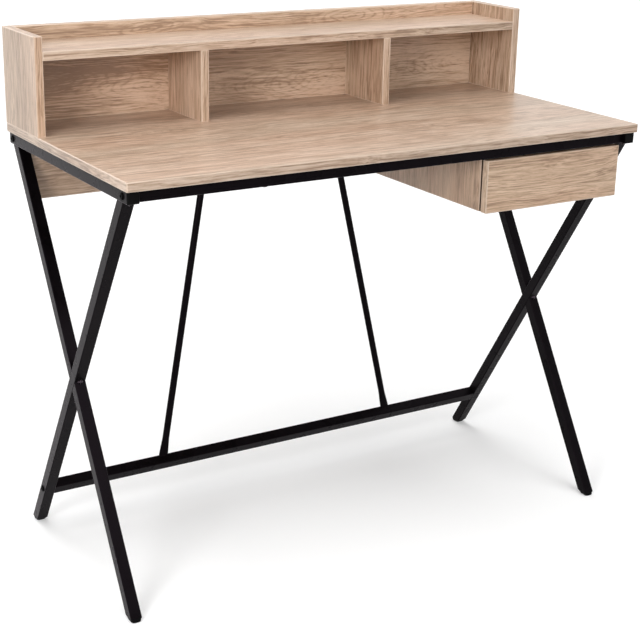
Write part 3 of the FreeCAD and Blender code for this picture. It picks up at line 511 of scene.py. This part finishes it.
# Rings of a flame: their pitch, how far they are drawn out and torn, how much of them breaks up and stays,
# the low of their wave and about the mean of its square, and their strength at the heart, which also
# scales a figure's painted shade and painted light
RING_PITCH, RING_SQUEEZE, RING_TEAR = 0.0054, 0.25, 0.0085
RING_BREAK, RING_KEPT = 1.8, 0.8
RING_LOW, RING_MEAN = 0.5, 0.4
FLAME_AND_PAINTED_SHADE_STRENGTH = 0.30
# The banding is cut from another part of the print, and its own edge shows as a thin pale line
BANDING_SHIFT = 1.7
BANDING = 0.0016
BANDING_LINE = (0.76, 0.62, 0.50, 1)
LINE_SHARE = 0.5
# Dark brown that replaces the print on the low edge across one axis of a board
DARK_EDGE_BROWN = (0.075, 0.046, 0.028, 1)
# What the fibres and the pores add to the relief of the face
FIBRE_RISE, PORE_DEPTH = 0.4, 0.6
# A face is square to an axis where its normal's share along that axis is above this
SQUARE_ON = 0.9


def oak_board(node, grain, across, cut, figures_and_painted_light=(), dark_edge_axis=None, tint=(1, 1, 1), calm=1.0):
    """Dress a board in pale oak print. The grain runs along one axis of the board and its width along
    another. The cut says which part of the print the board shows, and a figure is the heart of a flame in
    it, or the middle of a patch of painted shade or painted light: its two places, its reach and how far it
    darkens the board, lightening it where that is negative. A dark edge axis is one across which the low
    edge is dark brown in place of the print. A board has its own tint, which is painted shade on some boards
    and painted sheen on the top, and a calm below 1 weakens its lines."""
    material, tree, surface, point = new_finish(f"oak_{node}")
    facing = put(tree, "ShaderNodeNewGeometry").outputs["True Normal"]
    places = dict(zip("XYZ", put(tree, "ShaderNodeSeparateXYZ", {0: point}).outputs))
    turns = dict(zip("XYZ", put(tree, "ShaderNodeSeparateXYZ", {0: facing}).outputs))
    through = next(axis for axis in "XYZ" if axis not in grain + across)
    ends = dict(zip("XYZ", zip(*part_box(node))))

    def plus(first, second):
        return maths(tree, "ADD", first, second)

    def minus(first, second):
        return maths(tree, "SUBTRACT", first, second)

    def times(first, second):
        return maths(tree, "MULTIPLY", first, second)

    def vector(operation, first, second):
        return put(tree, "ShaderNodeVectorMath", {0: first, 1: second}, operation=operation).outputs[0]

    def joined(*parts):
        return put(tree, "ShaderNodeCombineXYZ", dict(enumerate(parts))).outputs[0]

    def mixed(kind, share, first, second, way="MIX"):
        """Two vectors or two colours mixed: the node has other sockets for each kind."""
        level, one, two, out = {"VECTOR": (0, 4, 5, 1), "RGBA": (0, 6, 7, 2)}[kind]
        sockets = {level: share, one: first, two: second}
        return put(tree, "ShaderNodeMix", sockets, data_type=kind, blend_type=way).outputs[out]

    def faces(axis):
        return maths(tree, "GREATER_THAN", maths(tree, "ABSOLUTE", turns[axis]), SQUARE_ON)

    # The banding at the board's ends is a strip of print laid along the edge
    lengthwise = joined(places[grain], places[across], places[through])
    crosswise = joined(places[across], places[through], places[grain])
    laid = mixed("VECTOR", faces(grain), lengthwise, crosswise)
    banded = minus(1, faces(through))
    strip = joined(times(banded, BANDING_SHIFT), 0, banded)
    spot = vector("ADD", vector("ADD", laid, cut), strip)

    def streaks(length, width, detail=2, source=spot):
        """Noise drawn out along the grain, in patches of that length and width, from -0.5 to 0.5."""
        stretched = vector("MULTIPLY", source, (1 / length, 1 / width, 1 / width))
        return minus(mottle(tree, stretched, 1, detail), 0.5)

    # Slow drift and quick waver of the lines across the grain
    drift = times(streaks(0.45, 0.10), DRIFT)
    sway = plus(drift, times(streaks(0.070, 0.024, 3), WAVER))
    bent = vector("ADD", spot, joined(0, sway, sway))

    broad = streaks(0.60, 0.045, 2, bent)
    narrow = streaks(0.24, 0.009, 3, bent)
    lines = streaks(0.085, 0.0026, 3, bent)
    fibre = streaks(0.045, 0.0019, 1, bent)
    tone = plus(times(broad, BROAD), times(narrow, NARROW * calm))
    tone = plus(tone, times(lines, LINES * calm))
    tone = plus(tone, times(fibre, FIBRE))

    # Flames: rings drawn out along the grain about each heart, torn and fading away from it
    for heart_along, heart_across, reach, shade in figures_and_painted_light:
        squeezed = times(minus(places[grain], heart_along), RING_SQUEEZE)
        beside = plus(minus(places[across], heart_across), drift)
        ring = maths(tree, "SQRT", plus(times(squeezed, squeezed), times(beside, beside)))
        torn = plus(ring, times(streaks(0.032, 0.011, 3), RING_TEAR))
        wave = maths(tree, "SINE", times(torn, 2 * math.pi / RING_PITCH))
        wave = minus(maths(tree, "POWER", spread(tree, wave, RING_LOW, 1.0), 2), RING_MEAN)
        fade = put(tree, "ShaderNodeMapRange", {
            "Value": torn, "From Min": 0.0, "From Max": reach, "To Min": FLAME_AND_PAINTED_SHADE_STRENGTH, "To Max": 0.0},
            interpolation_type="SMOOTHSTEP").outputs["Result"]
        broken = plus(times(streaks(0.07, 0.014), RING_BREAK), RING_KEPT)
        tone = minus(tone, times(times(wave, fade), broken))
        # The board darker about the heart by the figure's shade: on the top a darker heart in the print, on
        # the hutch back and right side painted shade, and painted light where the shade is negative
        tone = minus(tone, times(fade, shade))

    colour = ramp(tree, plus(tone, 0.5), *OAK_TONES)
    warm, cool = [[part * share for part, share in zip(patch, tint)] for patch in (WARM_PATCH, COOL_PATCH)]
    patches = ramp(tree, plus(streaks(0.5, 0.09), 0.5), (0.36, warm), (0.64, cool))
    pores = plus(streaks(0.014, 0.0008, 1, bent), 0.5)
    pore_marks = ramp(tree, pores, (0.60, (1, 1, 1)), (0.70, PORE_MARK))
    tinted = mixed("RGBA", 1.0, colour, patches, "MULTIPLY")
    shown = mixed("RGBA", 1.0, tinted, pore_marks, "MULTIPLY")

    # The banding's own thickness shows as a pale line round the face and on the bevelled arris
    flat = plus(plus(faces("X"), faces("Y")), faces("Z"))
    line = minus(1, flat)
    for axis in "XYZ":
        for edge in ends[axis]:
            gap = maths(tree, "ABSOLUTE", minus(places[axis], edge))
            near = times(maths(tree, "LESS_THAN", gap, BANDING), minus(1, faces(axis)))
            line = maths(tree, "MAXIMUM", line, near)
    shown = mixed("RGBA", times(line, LINE_SHARE), shown, BANDING_LINE)
    if dark_edge_axis:
        edge_darkened = maths(tree, "LESS_THAN", turns[dark_edge_axis], -SQUARE_ON)
        shown = mixed("RGBA", edge_darkened, shown, DARK_EDGE_BROWN)
    paint(tree, surface, shown, spread(tree, plus(lines, 0.5), 0.26, 0.44))
    surface.inputs["Specular IOR Level"].default_value = 0.7
    relief(tree, surface, minus(times(fibre, FIBRE_RISE), times(pores, PORE_DEPTH)), depth=0.00012)
    dress(material, node)


# Its tint, darker than the print, is painted shade from the top above it
oak_board("modesty_panel", "X", "Z", (3.1, 0.4, 0.2), tint=(0.88, 0.86, 0.83))
# Its tint, darker and warmer than the print, is painted shade under the top, and paints out the pale sheen
# that the lamps leave on it
oak_board("drawer_case_left_panel", "Z", "Y", (0.3, 2.2, 0.7), dark_edge_axis="Y", tint=(0.97, 0.89, 0.81), calm=0.7)
oak_board("drawer_case_right_panel", "Z", "Y", (1.4, 1.1, 0.9), dark_edge_axis="Y")

RECESS_TAPER = 0.45


def star(name, span, width, depth):
    """Punch of a cross recess: arms of that span and width that narrow with depth."""
    arm, half = span / 2, width / 2
    quarter = [(arm, -half), (arm, half), (half, half)]
    outline = []
    for turn in range(4):
        cosine, sine = round(math.cos(turn * math.pi / 2)), round(math.sin(turn * math.pi / 2))
        outline += [(x * cosine - y * sine, x * sine + y * cosine) for x, y in quarter]
    count = len(outline)
    points = [(x, y, depth) for x, y in outline]
    points += [(x * RECESS_TAPER, y * RECESS_TAPER, -depth) for x, y in outline]
    faces = [list(range(count)), list(range(2 * count - 1, count - 1, -1))]
    faces += [[turn, turn + count, (turn + 1) % count + count, (turn + 1) % count] for turn in range(count)]
    return shaped(name, points, faces)


# The recess as shares of the head's width, and the thread's pitch as a share of the shank's
RECESS_SPAN, RECESS_ARM = 0.56, 0.15
THREAD_PITCH = 0.4


def pan_screw(name, head, height, shank, length):
    """Pan-headed screw with a cross recess: head and shank are widths, height is the head's rise."""
    rim = head / 2
    crown = [(0, height), (rim * 0.55, height), (rim * 0.85, height * 0.86), (rim, height * 0.45), (rim, 0)]
    threaded = thread(shank / 2, -length * 0.35, -length * 0.92, shank * THREAD_PITCH)
    body = [(shank / 2, 0), *threaded, (0, -length)]
    punch = star(f"{name}_recess", head * RECESS_SPAN, head * RECESS_ARM, height * 0.6)
    return punched(turned(name, crown + body), punch, Matrix.Translation((0, 0, height)))


def flush_screw(name, head, height, shank, length):
    """Countersunk screw with a cross recess, its head level with the board."""
    rim = head / 2
    crown = [(0, 0), (rim * 0.97, 0), (rim, -height * 0.25), (shank / 2, -height)]
    threaded = thread(shank / 2, -height - length * 0.3, -length * 0.93, shank * THREAD_PITCH)
    punch = star(f"{name}_recess", head * RECESS_SPAN, head * RECESS_ARM, height * 0.62)
    return punched(turned(name, [*crown, *threaded, (0, -length)]), punch)


SMALL_SCREW = {"head": 0.008, "height": 0.0022, "shank": 0.004}
SCREW_BITE = 0.011
PANEL_SCREWS_AT = (-0.350, 0, 0.350)
rear_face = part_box("rear_rail")[1].y
rail_level = middle("rear_rail").z
panel_spots = [((x, rear_face, rail_level), (0, 1, 0)) for x in PANEL_SCREWS_AT]
panel_screw = pan_screw("panel_screw", length=TUBE + SCREW_BITE, **SMALL_SCREW)
fasten("modesty_panel_screws", panel_screw, panel_spots, oxide, "desk")

BOARD_SCREW_LENGTH = 0.026
CASE_SCREW_RISE = 0.030
SUNK = 0.0002
panel_low, panel_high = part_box("modesty_panel")
case_spots = []
for panel in both("drawer_case_{}_panel"):
    case_spots.append(((middle(panel).x, panel_high.y, panel_low.z + CASE_SCREW_RISE), (0, 1, 0)))
case_screw = flush_screw("case_screw", length=BOARD_SCREW_LENGTH, **SMALL_SCREW)
fasten("case_rear_screws", case_screw, case_spots, zinc, "desk", sink=SUNK)


def cam_disc(name, depth, way):
    """Die-cast cam: a 15 mm drum with a cross slot in its face and a way in its side for the bolt's head."""
    rim, chamfer = 0.0074, 0.0006
    bore, reach = 0.0031, 0.02
    drum = turned(name, [(0, 0), (rim * 0.9, 0), (rim, -chamfer), (rim, -depth), (0, -depth)], sides=32)
    drum = punched(drum, star(f"{name}_slot", span=0.0078, width=0.0018, depth=0.003))
    punch = turned(f"{name}_way", [(0, reach), (bore, reach), (bore, 0), (0, 0)])
    return punched(drum, punch, Matrix.Translation((0, 0, -way)) @ Matrix.Rotation(math.pi / 2, 4, "Y"))


HALF_BOARD = 0.0075
CAM_DEPTH = 0.012
CAM_INSET = 0.060
CAM_DROP = 0.024
CASE_SIDES = (("drawer_case_left_panel", 1), ("drawer_case_right_panel", -1))
cam_spots = []
for panel, way in CASE_SIDES:
    low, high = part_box(panel)
    for y in (low.y + CAM_INSET, high.y - CAM_INSET):
        cam_spots.append(((side_face(panel, way), y, high.z - CAM_DROP), (way, 0, 0), (0, 0, 1)))
case_cam = cam_disc("case_cam", CAM_DEPTH, HALF_BOARD)
fasten("case_cam_discs", case_cam, cam_spots, zinc, "desk")
dress(zinc, "case_cam_bolts")

# Braces: two 13 mm round tubes from the stretcher up to the panel. Their ends are pressed flat; the
# foot is welded along the stretcher and the head takes two screws into the panel.

dress(black_coat, *both("{}_brace"))
FLAT_STEEL = 0.003
# Ends of the right brace, as (x, z)
BRACE_FOOT = (0.2565, 0.085)
BRACE_HEAD = (0.133, 0.690)
BRACE_SCREW_DROPS = (0.011, 0.034)
brace_spots = []
for side in (-1, 1):
    for drop in BRACE_SCREW_DROPS:
        level = BRACE_HEAD[1] - drop
        up = (level - BRACE_FOOT[1]) / (BRACE_HEAD[1] - BRACE_FOOT[1])
        x = BRACE_FOOT[0] * (1 - up) + BRACE_HEAD[0] * up
        brace_spots.append(((side * x, panel_low.y - FLAT_STEEL, level), (0, -1, 0)))
brace_screw = pan_screw("brace_screw", length=FLAT_STEEL + SCREW_BITE, **SMALL_SCREW)
fasten("brace_screws", brace_screw, brace_spots, oxide, "desk")

# Top: one 15 mm board with its grain along the desk, banded all round, laid on the rails and
# drawn down by four screws from below.

top_flames = [(-0.03, 0.115, 0.03, 0.2), (-0.30, 0.06, 0.03, 0.2)]
# Its tint, paler in green and blue, is painted sheen on the top
oak_board("tabletop", "X", "Y", (0.0, 0.0, 0.0), top_flames, tint=(1.0, 1.02, 1.05))
TOP_SCREW_AT = 0.257
top_spots = []
for rail in ("front_rail", "rear_rail"):
    for x in (-TOP_SCREW_AT, TOP_SCREW_AT):
        top_spots.append(((x, middle(rail).y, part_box(rail)[0].z), (0, 0, -1)))
top_screw = pan_screw("top_screw", head=0.010, height=0.0025, shank=0.005, length=TUBE + SCREW_BITE)
fasten("tabletop_screws", top_screw, top_spots, oxide, "desk")

# Hutch: two sides, a back, a shelf and two dividers of the same board. Cams and dowels join the
# shelf and back to the sides, and countersunk screws come up through the top and in through the back.

# Its tint, a little warmer than the print, paints out part of the sheen that the lamps leave on its outer
# face
oak_board("hutch_left_side", "Z", "Y", (0.9, 0.5, 1.3), tint=(1.0, 0.975, 0.95), calm=0.9)
# Its one figure is painted shade: the side darker towards its rear edge, by the back panel
oak_board("hutch_right_side", "Z", "Y", (2.3, 1.6, 0.1), [(0.79, 0.23, 0.06, 0.35)])
# The print's flames, with painted shade on the left of each compartment's back, where the side or divider
# before it casts its shadow, and painted light on its right and on the strip above the shelf
back_flames_and_painted_light = [(-0.45, 0.805, 0.090, 1.00), (-0.24, 0.782, 0.060, -0.85), (0.03, 0.772, 0.050, 0.30),
               (0.15, 0.772, 0.065, -0.60), (0.32, 0.775, 0.045, 0.20), (0.46, 0.785, 0.060, -0.80),
               (-0.24, 0.898, 0.030, 0.10), (0.20, 0.900, 0.050, -0.40), (0.44, 0.897, 0.030, -0.10)]
oak_board("hutch_back_panel", "X", "Z", (1.9, 0.8, 0.6), back_flames_and_painted_light, tint=(1.06, 1.04, 1.02))
oak_board("hutch_shelf", "X", "Y", (5.2, 1.7, 0.3), tint=(1.0, 1.01, 1.03))
oak_board("hutch_left_divider", "Z", "Y", (4.0, 0.2, 2.2))
oak_board("hutch_right_divider", "Z", "Y", (4.9, 1.9, 1.2))

CAM_SETBACK = 0.034
QUARTERS = (0.25, 0.75)
shelf_low, shelf_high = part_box("hutch_shelf")
top_low, top_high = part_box("tabletop")
back_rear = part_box("hutch_back_panel")[1].y
shelf_middle, back_middle = middle("hutch_shelf"), middle("hutch_back_panel")
rows = [shelf_low.y + (shelf_high.y - shelf_low.y) * share for share in QUARTERS]
third = (top_high.x - top_low.x) / 3
hutch_cams, base_spots, back_spots = [], [], []
for side, way in (("left", -1), ("right", 1)):
    cam_x = way * (shelf_high.x - CAM_SETBACK)
    hutch_cams.append(((cam_x, rows[0], shelf_low.z), (0, 0, -1), (way, 0, 0)))
    hutch_cams.append(((cam_x, back_rear, back_middle.z), (0, 1, 0), (way, 0, 0)))
    board_x, divider = middle(f"hutch_{side}_side").x, middle(f"hutch_{side}_divider")
    base_spots += [((board_x, y, top_low.z), (0, 0, -1)) for y in rows]
    base_spots.append(((divider.x, shelf_middle.y, top_low.z), (0, 0, -1)))
    base_spots.append(((way * third, back_middle.y, top_low.z), (0, 0, -1)))
    back_spots.append(((divider.x, back_rear, divider.z), (0, 1, 0)))
    back_spots.append(((way * third, back_rear, shelf_middle.z), (0, 1, 0)))
hutch_cam = cam_disc("hutch_cam", CAM_DEPTH, HALF_BOARD)
fasten("hutch_cam_discs", hutch_cam, hutch_cams, zinc, "desk")
for name, spots in (("hutch_base_screws", base_spots), ("hutch_back_screws", back_spots)):
    screw = flush_screw(f"{name}_model", length=BOARD_SCREW_LENGTH, **SMALL_SCREW)
    fasten(name, screw, spots, zinc, "desk", sink=SUNK)
dress(zinc, "hutch_cam_bolts")


def fluted_beech():
    """Beech dowel: pale pinkish wood with small dark flecks."""
    material, tree, surface, point = new_finish("beech_dowel")
    flecks = mottle(tree, point, scale=900, detail=3)
    pale = ramp(tree, flecks, (0.35, (0.50, 0.33, 0.20)), (0.6, (0.68, 0.49, 0.33)))
    tree.links.new(pale, surface.inputs["Base Color"])
    surface.inputs["Roughness"].default_value = 0.62
    relief(tree, surface, flecks, depth=0.0001)
    return material


beech = fluted_beech()
dress(beech, "hutch_dowels")

# Drawer runners in the case: a rolled steel channel on each side panel, with a nylon roller riveted
# at its mouth and two screws through its web.

dress(zinc, *both("{}_case_runner"), "case_roller_rivets")


def white_nylon():
    """Roller nylon: milky white, a little translucent, unevenly matt."""
    material, tree, surface, point = new_finish("white_nylon")
    haze = mottle(tree, point, scale=300, detail=3)
    milk = ramp(tree, haze, (0.3, (0.72, 0.71, 0.68)), (0.7, (0.80, 0.79, 0.76)))
    paint(tree, surface, milk, spread(tree, haze, 0.35, 0.55))
    surface.inputs["Subsurface Weight"].default_value = 0.2
    surface.inputs["Subsurface Radius"].default_value = (0.002, 0.002, 0.0018)
    return material


nylon = white_nylon()
dress(nylon, *both("{}_case_roller"))
RUNNER_SCREW = {"head": 0.007, "height": 0.0007, "shank": 0.0035, "length": 0.0077}
RUNNER_STEEL = 0.0012
RUNNER_SCREW_INSET = 0.045
runner_level = middle("left_case_roller").z
run_low, run_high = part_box("left_case_runner")
runner_spots = []
for panel, way in CASE_SIDES:
    web = side_face(panel, way) + way * RUNNER_STEEL
    for y in (run_low.y + RUNNER_SCREW_INSET, run_high.y - RUNNER_SCREW_INSET):
        runner_spots.append(((web, y, runner_level), (way, 0, 0)))
case_runner_screw = pan_screw("case_runner_screw", **RUNNER_SCREW)
fasten("case_runner_screws", case_runner_screw, runner_spots, zinc, "desk")

# Drawer: a front of the 15 mm board on a box of 12 mm board, with a hardboard floor slid into grooves.
# Cams and dowels hold the front, screws the back, and an angle runner with a roller is under each side.

oak_board("drawer_front", "X", "Z", (6.6, 0.9, 0.4), tint=(1.18, 1.14, 1.08), calm=0.85)
oak_board("drawer_left_side", "Y", "Z", (2.0, 0.3, 1.0))
oak_board("drawer_right_side", "Y", "Z", (3.3, 0.7, 0.5))
oak_board("drawer_back", "X", "Z", (0.6, 3.1, 0.8))


def pressed_hardboard():
    """Drawer floor: brown pressed fibre with a smooth, mottled face."""
    material, tree, surface, point = new_finish("pressed_hardboard")
    fibres = mottle(tree, point, scale=520, detail=5)
    brown = ramp(tree, fibres, (0.32, (0.115, 0.066, 0.036)), (0.5, (0.19, 0.115, 0.066)),
                 (0.68, (0.27, 0.175, 0.105)))
    paint(tree, surface, brown, spread(tree, fibres, 0.45, 0.62))
    relief(tree, surface, fibres, depth=0.00008)
    return material


dress(pressed_hardboard(), "drawer_bottom")
dress(zinc, *both("{}_drawer_runner"), "drawer_roller_rivets", "drawer_cam_bolts")
dress(nylon, *both("{}_drawer_roller"))
dress(beech, "drawer_dowels")

HALF_SIDE = 0.006
DRAWER_CAM_DEPTH = 0.009
DRAWER_CAM_SETBACK = 0.024
DRAWER_CAM_RISE = 0.006
DRAWER_SCREW_LENGTH = 0.023
box_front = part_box("drawer_front")[1].y
back_low, back_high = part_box("drawer_back")
drawer_cams, drawer_back_spots, drawer_runner_spots = [], [], []
for side, way in (("left", 1), ("right", -1)):
    board = f"drawer_{side}_side"
    cam_at = (side_face(board, way), box_front + DRAWER_CAM_SETBACK, middle(board).z + DRAWER_CAM_RISE)
    drawer_cams.append((cam_at, (way, 0, 0), (0, -1, 0)))
    for share in QUARTERS:
        level = back_low.z + (back_high.z - back_low.z) * share
        drawer_back_spots.append(((side_face(board, -way), middle("drawer_back").y, level), (-way, 0, 0)))
    run_low, run_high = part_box(f"{side}_drawer_runner")
    for y in (run_low.y + RUNNER_SCREW_INSET, run_high.y - RUNNER_SCREW_INSET):
        drawer_runner_spots.append(((middle(board).x, y, run_low.z), (0, 0, -1)))
drawer_cam = cam_disc("drawer_cam", DRAWER_CAM_DEPTH, HALF_SIDE)
fasten("drawer_cam_discs", drawer_cam, drawer_cams, zinc, "drawer")
drawer_screw = flush_screw("drawer_screw", length=DRAWER_SCREW_LENGTH, **SMALL_SCREW)
fasten("drawer_back_screws", drawer_screw, drawer_back_spots, zinc, "drawer", sink=SUNK)
drawer_runner_screw = pan_screw("drawer_runner_screw", **RUNNER_SCREW)
fasten("drawer_runner_screws", drawer_runner_screw, drawer_runner_spots, zinc, "drawer")

# Stage: a white paper floor that keeps the desk's soft shadow, broad suns from above, behind, the front
# and the right, softboxes at the left, in front and low behind the left end, and the camera at the
# photograph's place.


def seen_rays(tree):
    """1 on rays that show the stage itself: to the camera, in a gloss or through glass."""
    path = put(tree, "ShaderNodeLightPath").outputs
    gloss = maths(tree, "MAXIMUM", path["Is Glossy Ray"], path["Is Transmission Ray"])
    return maths(tree, "MAXIMUM", path["Is Camera Ray"], gloss)


FLOOR_REACH = 30
# The paper looks paler than the light that it sends back to the desk, and it glows, more so farther out
PAPER_TO_DESK, PAPER_AS_SEEN = 0.3, 0.8
GLOW_STARTS, GLOW_ENDS = 0.9, 2.6
GLOW_NEAR, GLOW_FAR = 0.235, 0.42
floor_corners = [(x * FLOOR_REACH, y * FLOOR_REACH, 0) for x, y in ((-1, -1), (1, -1), (1, 1), (-1, 1))]
floor = shaped("floor", floor_corners, [(0, 1, 2, 3)])
paper, paper_tree, paper_surface, paper_point = new_finish("white_paper_floor")
white = spread(paper_tree, seen_rays(paper_tree), PAPER_TO_DESK, PAPER_AS_SEEN)
paper_tree.links.new(white, paper_surface.inputs["Base Color"])
paper_surface.inputs["Roughness"].default_value = 0.9
paper_surface.inputs["Specular IOR Level"].default_value = 0.0
paper_surface.inputs["Emission Color"].default_value = (1, 1, 1, 1)
distance_out = put(paper_tree, "ShaderNodeVectorMath", {0: paper_point}, operation="LENGTH").outputs["Value"]
glow = put(paper_tree, "ShaderNodeMapRange", {
    "Value": distance_out, "From Min": GLOW_STARTS, "From Max": GLOW_ENDS,
    "To Min": GLOW_NEAR, "To Max": GLOW_FAR}).outputs["Result"]
paper_glow = maths(paper_tree, "MULTIPLY", seen_rays(paper_tree), glow)
paper_tree.links.new(paper_glow, paper_surface.inputs["Emission Strength"])
floor.data.materials.append(paper)
floor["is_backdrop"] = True

FILL = 0.03
world = bpy.data.worlds.new("studio")
bpy.context.scene.world = world
world.use_nodes = True
sky = world.node_tree
brightness = maths(sky, "ADD", maths(sky, "MULTIPLY", seen_rays(sky), 1 - FILL), FILL)
sky.nodes["Background"].inputs["Color"].default_value = (1, 1, 1, 1)
sky.links.new(brightness, sky.nodes["Background"].inputs["Strength"])


def aimed(azimuth, elevation):
    """Turn of a lamp or camera that looks in from so many degrees to the right of the front, and up."""
    tilt = Matrix.Rotation(math.radians(90 - elevation), 4, "X")
    return Matrix.Rotation(math.radians(azimuth), 4, "Z") @ tilt


def sun(name, strength, softness, azimuth, elevation):
    """Light from far away, as wide as its softness in degrees."""
    light = bpy.data.lights.new(name, "SUN")
    light.energy = strength
    light.angle = math.radians(softness)
    placed(name, light).matrix_world = aimed(azimuth, elevation)


sun("overhead", strength=1.6, softness=45, azimuth=0, elevation=85)
sun("rear", strength=0.9, softness=45, azimuth=176, elevation=46)
sun("front", strength=0.44, softness=38, azimuth=-11, elevation=17)
sun("rear_low", strength=0.5, softness=30, azimuth=-172, elevation=15)
sun("right", strength=0.3, softness=60, azimuth=75, elevation=20)

AIM_HEIGHT = 0.6


def softbox(name, power, size, azimuth, elevation, distance):
    """Panel of light, of that width and height, that faces the middle of the desk from that distance."""
    light = bpy.data.lights.new(name, "AREA")
    light.shape = "RECTANGLE"
    light.size, light.size_y = size
    light.energy = power
    lamp = placed(name, light)
    away = Matrix.Translation((0, 0, distance))
    lamp.matrix_world = Matrix.Translation((0, 0, AIM_HEIGHT)) @ aimed(azimuth, elevation) @ away
    lamp.visible_camera = False


softbox("key", power=44, size=(1.0, 1.0), azimuth=-57, elevation=17, distance=3.0)
softbox("left", power=17, size=(1.5, 1.5), azimuth=-75, elevation=45, distance=2.8)
softbox("rim", power=3.5, size=(2.4, 1.1), azimuth=-142, elevation=0, distance=2.85)
softbox("face", power=12, size=(1.2, 1.2), azimuth=15, elevation=32, distance=2.75)

PHOTO_WIDTH = 640
FOCAL_PIXELS = 1448.16
CAMERA_AT = (-1.34048, -2.14024, 1.24459)
AZIMUTH, ELEVATION, ROLL = -31.88, 18.78, 1.20
camera_data = bpy.data.cameras.new("camera")
camera_data.sensor_fit = "HORIZONTAL"
camera_data.lens = camera_data.sensor_width * FOCAL_PIXELS / PHOTO_WIDTH
camera = placed("camera", camera_data)
roll = Matrix.Rotation(math.radians(ROLL), 4, "Z")
camera.matrix_world = Matrix.Translation(CAMERA_AT) @ aimed(AZIMUTH, ELEVATION) @ roll
bpy.context.scene.camera = camera
bpy.context.scene.view_settings.view_transform = "Standard"

low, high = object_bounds()
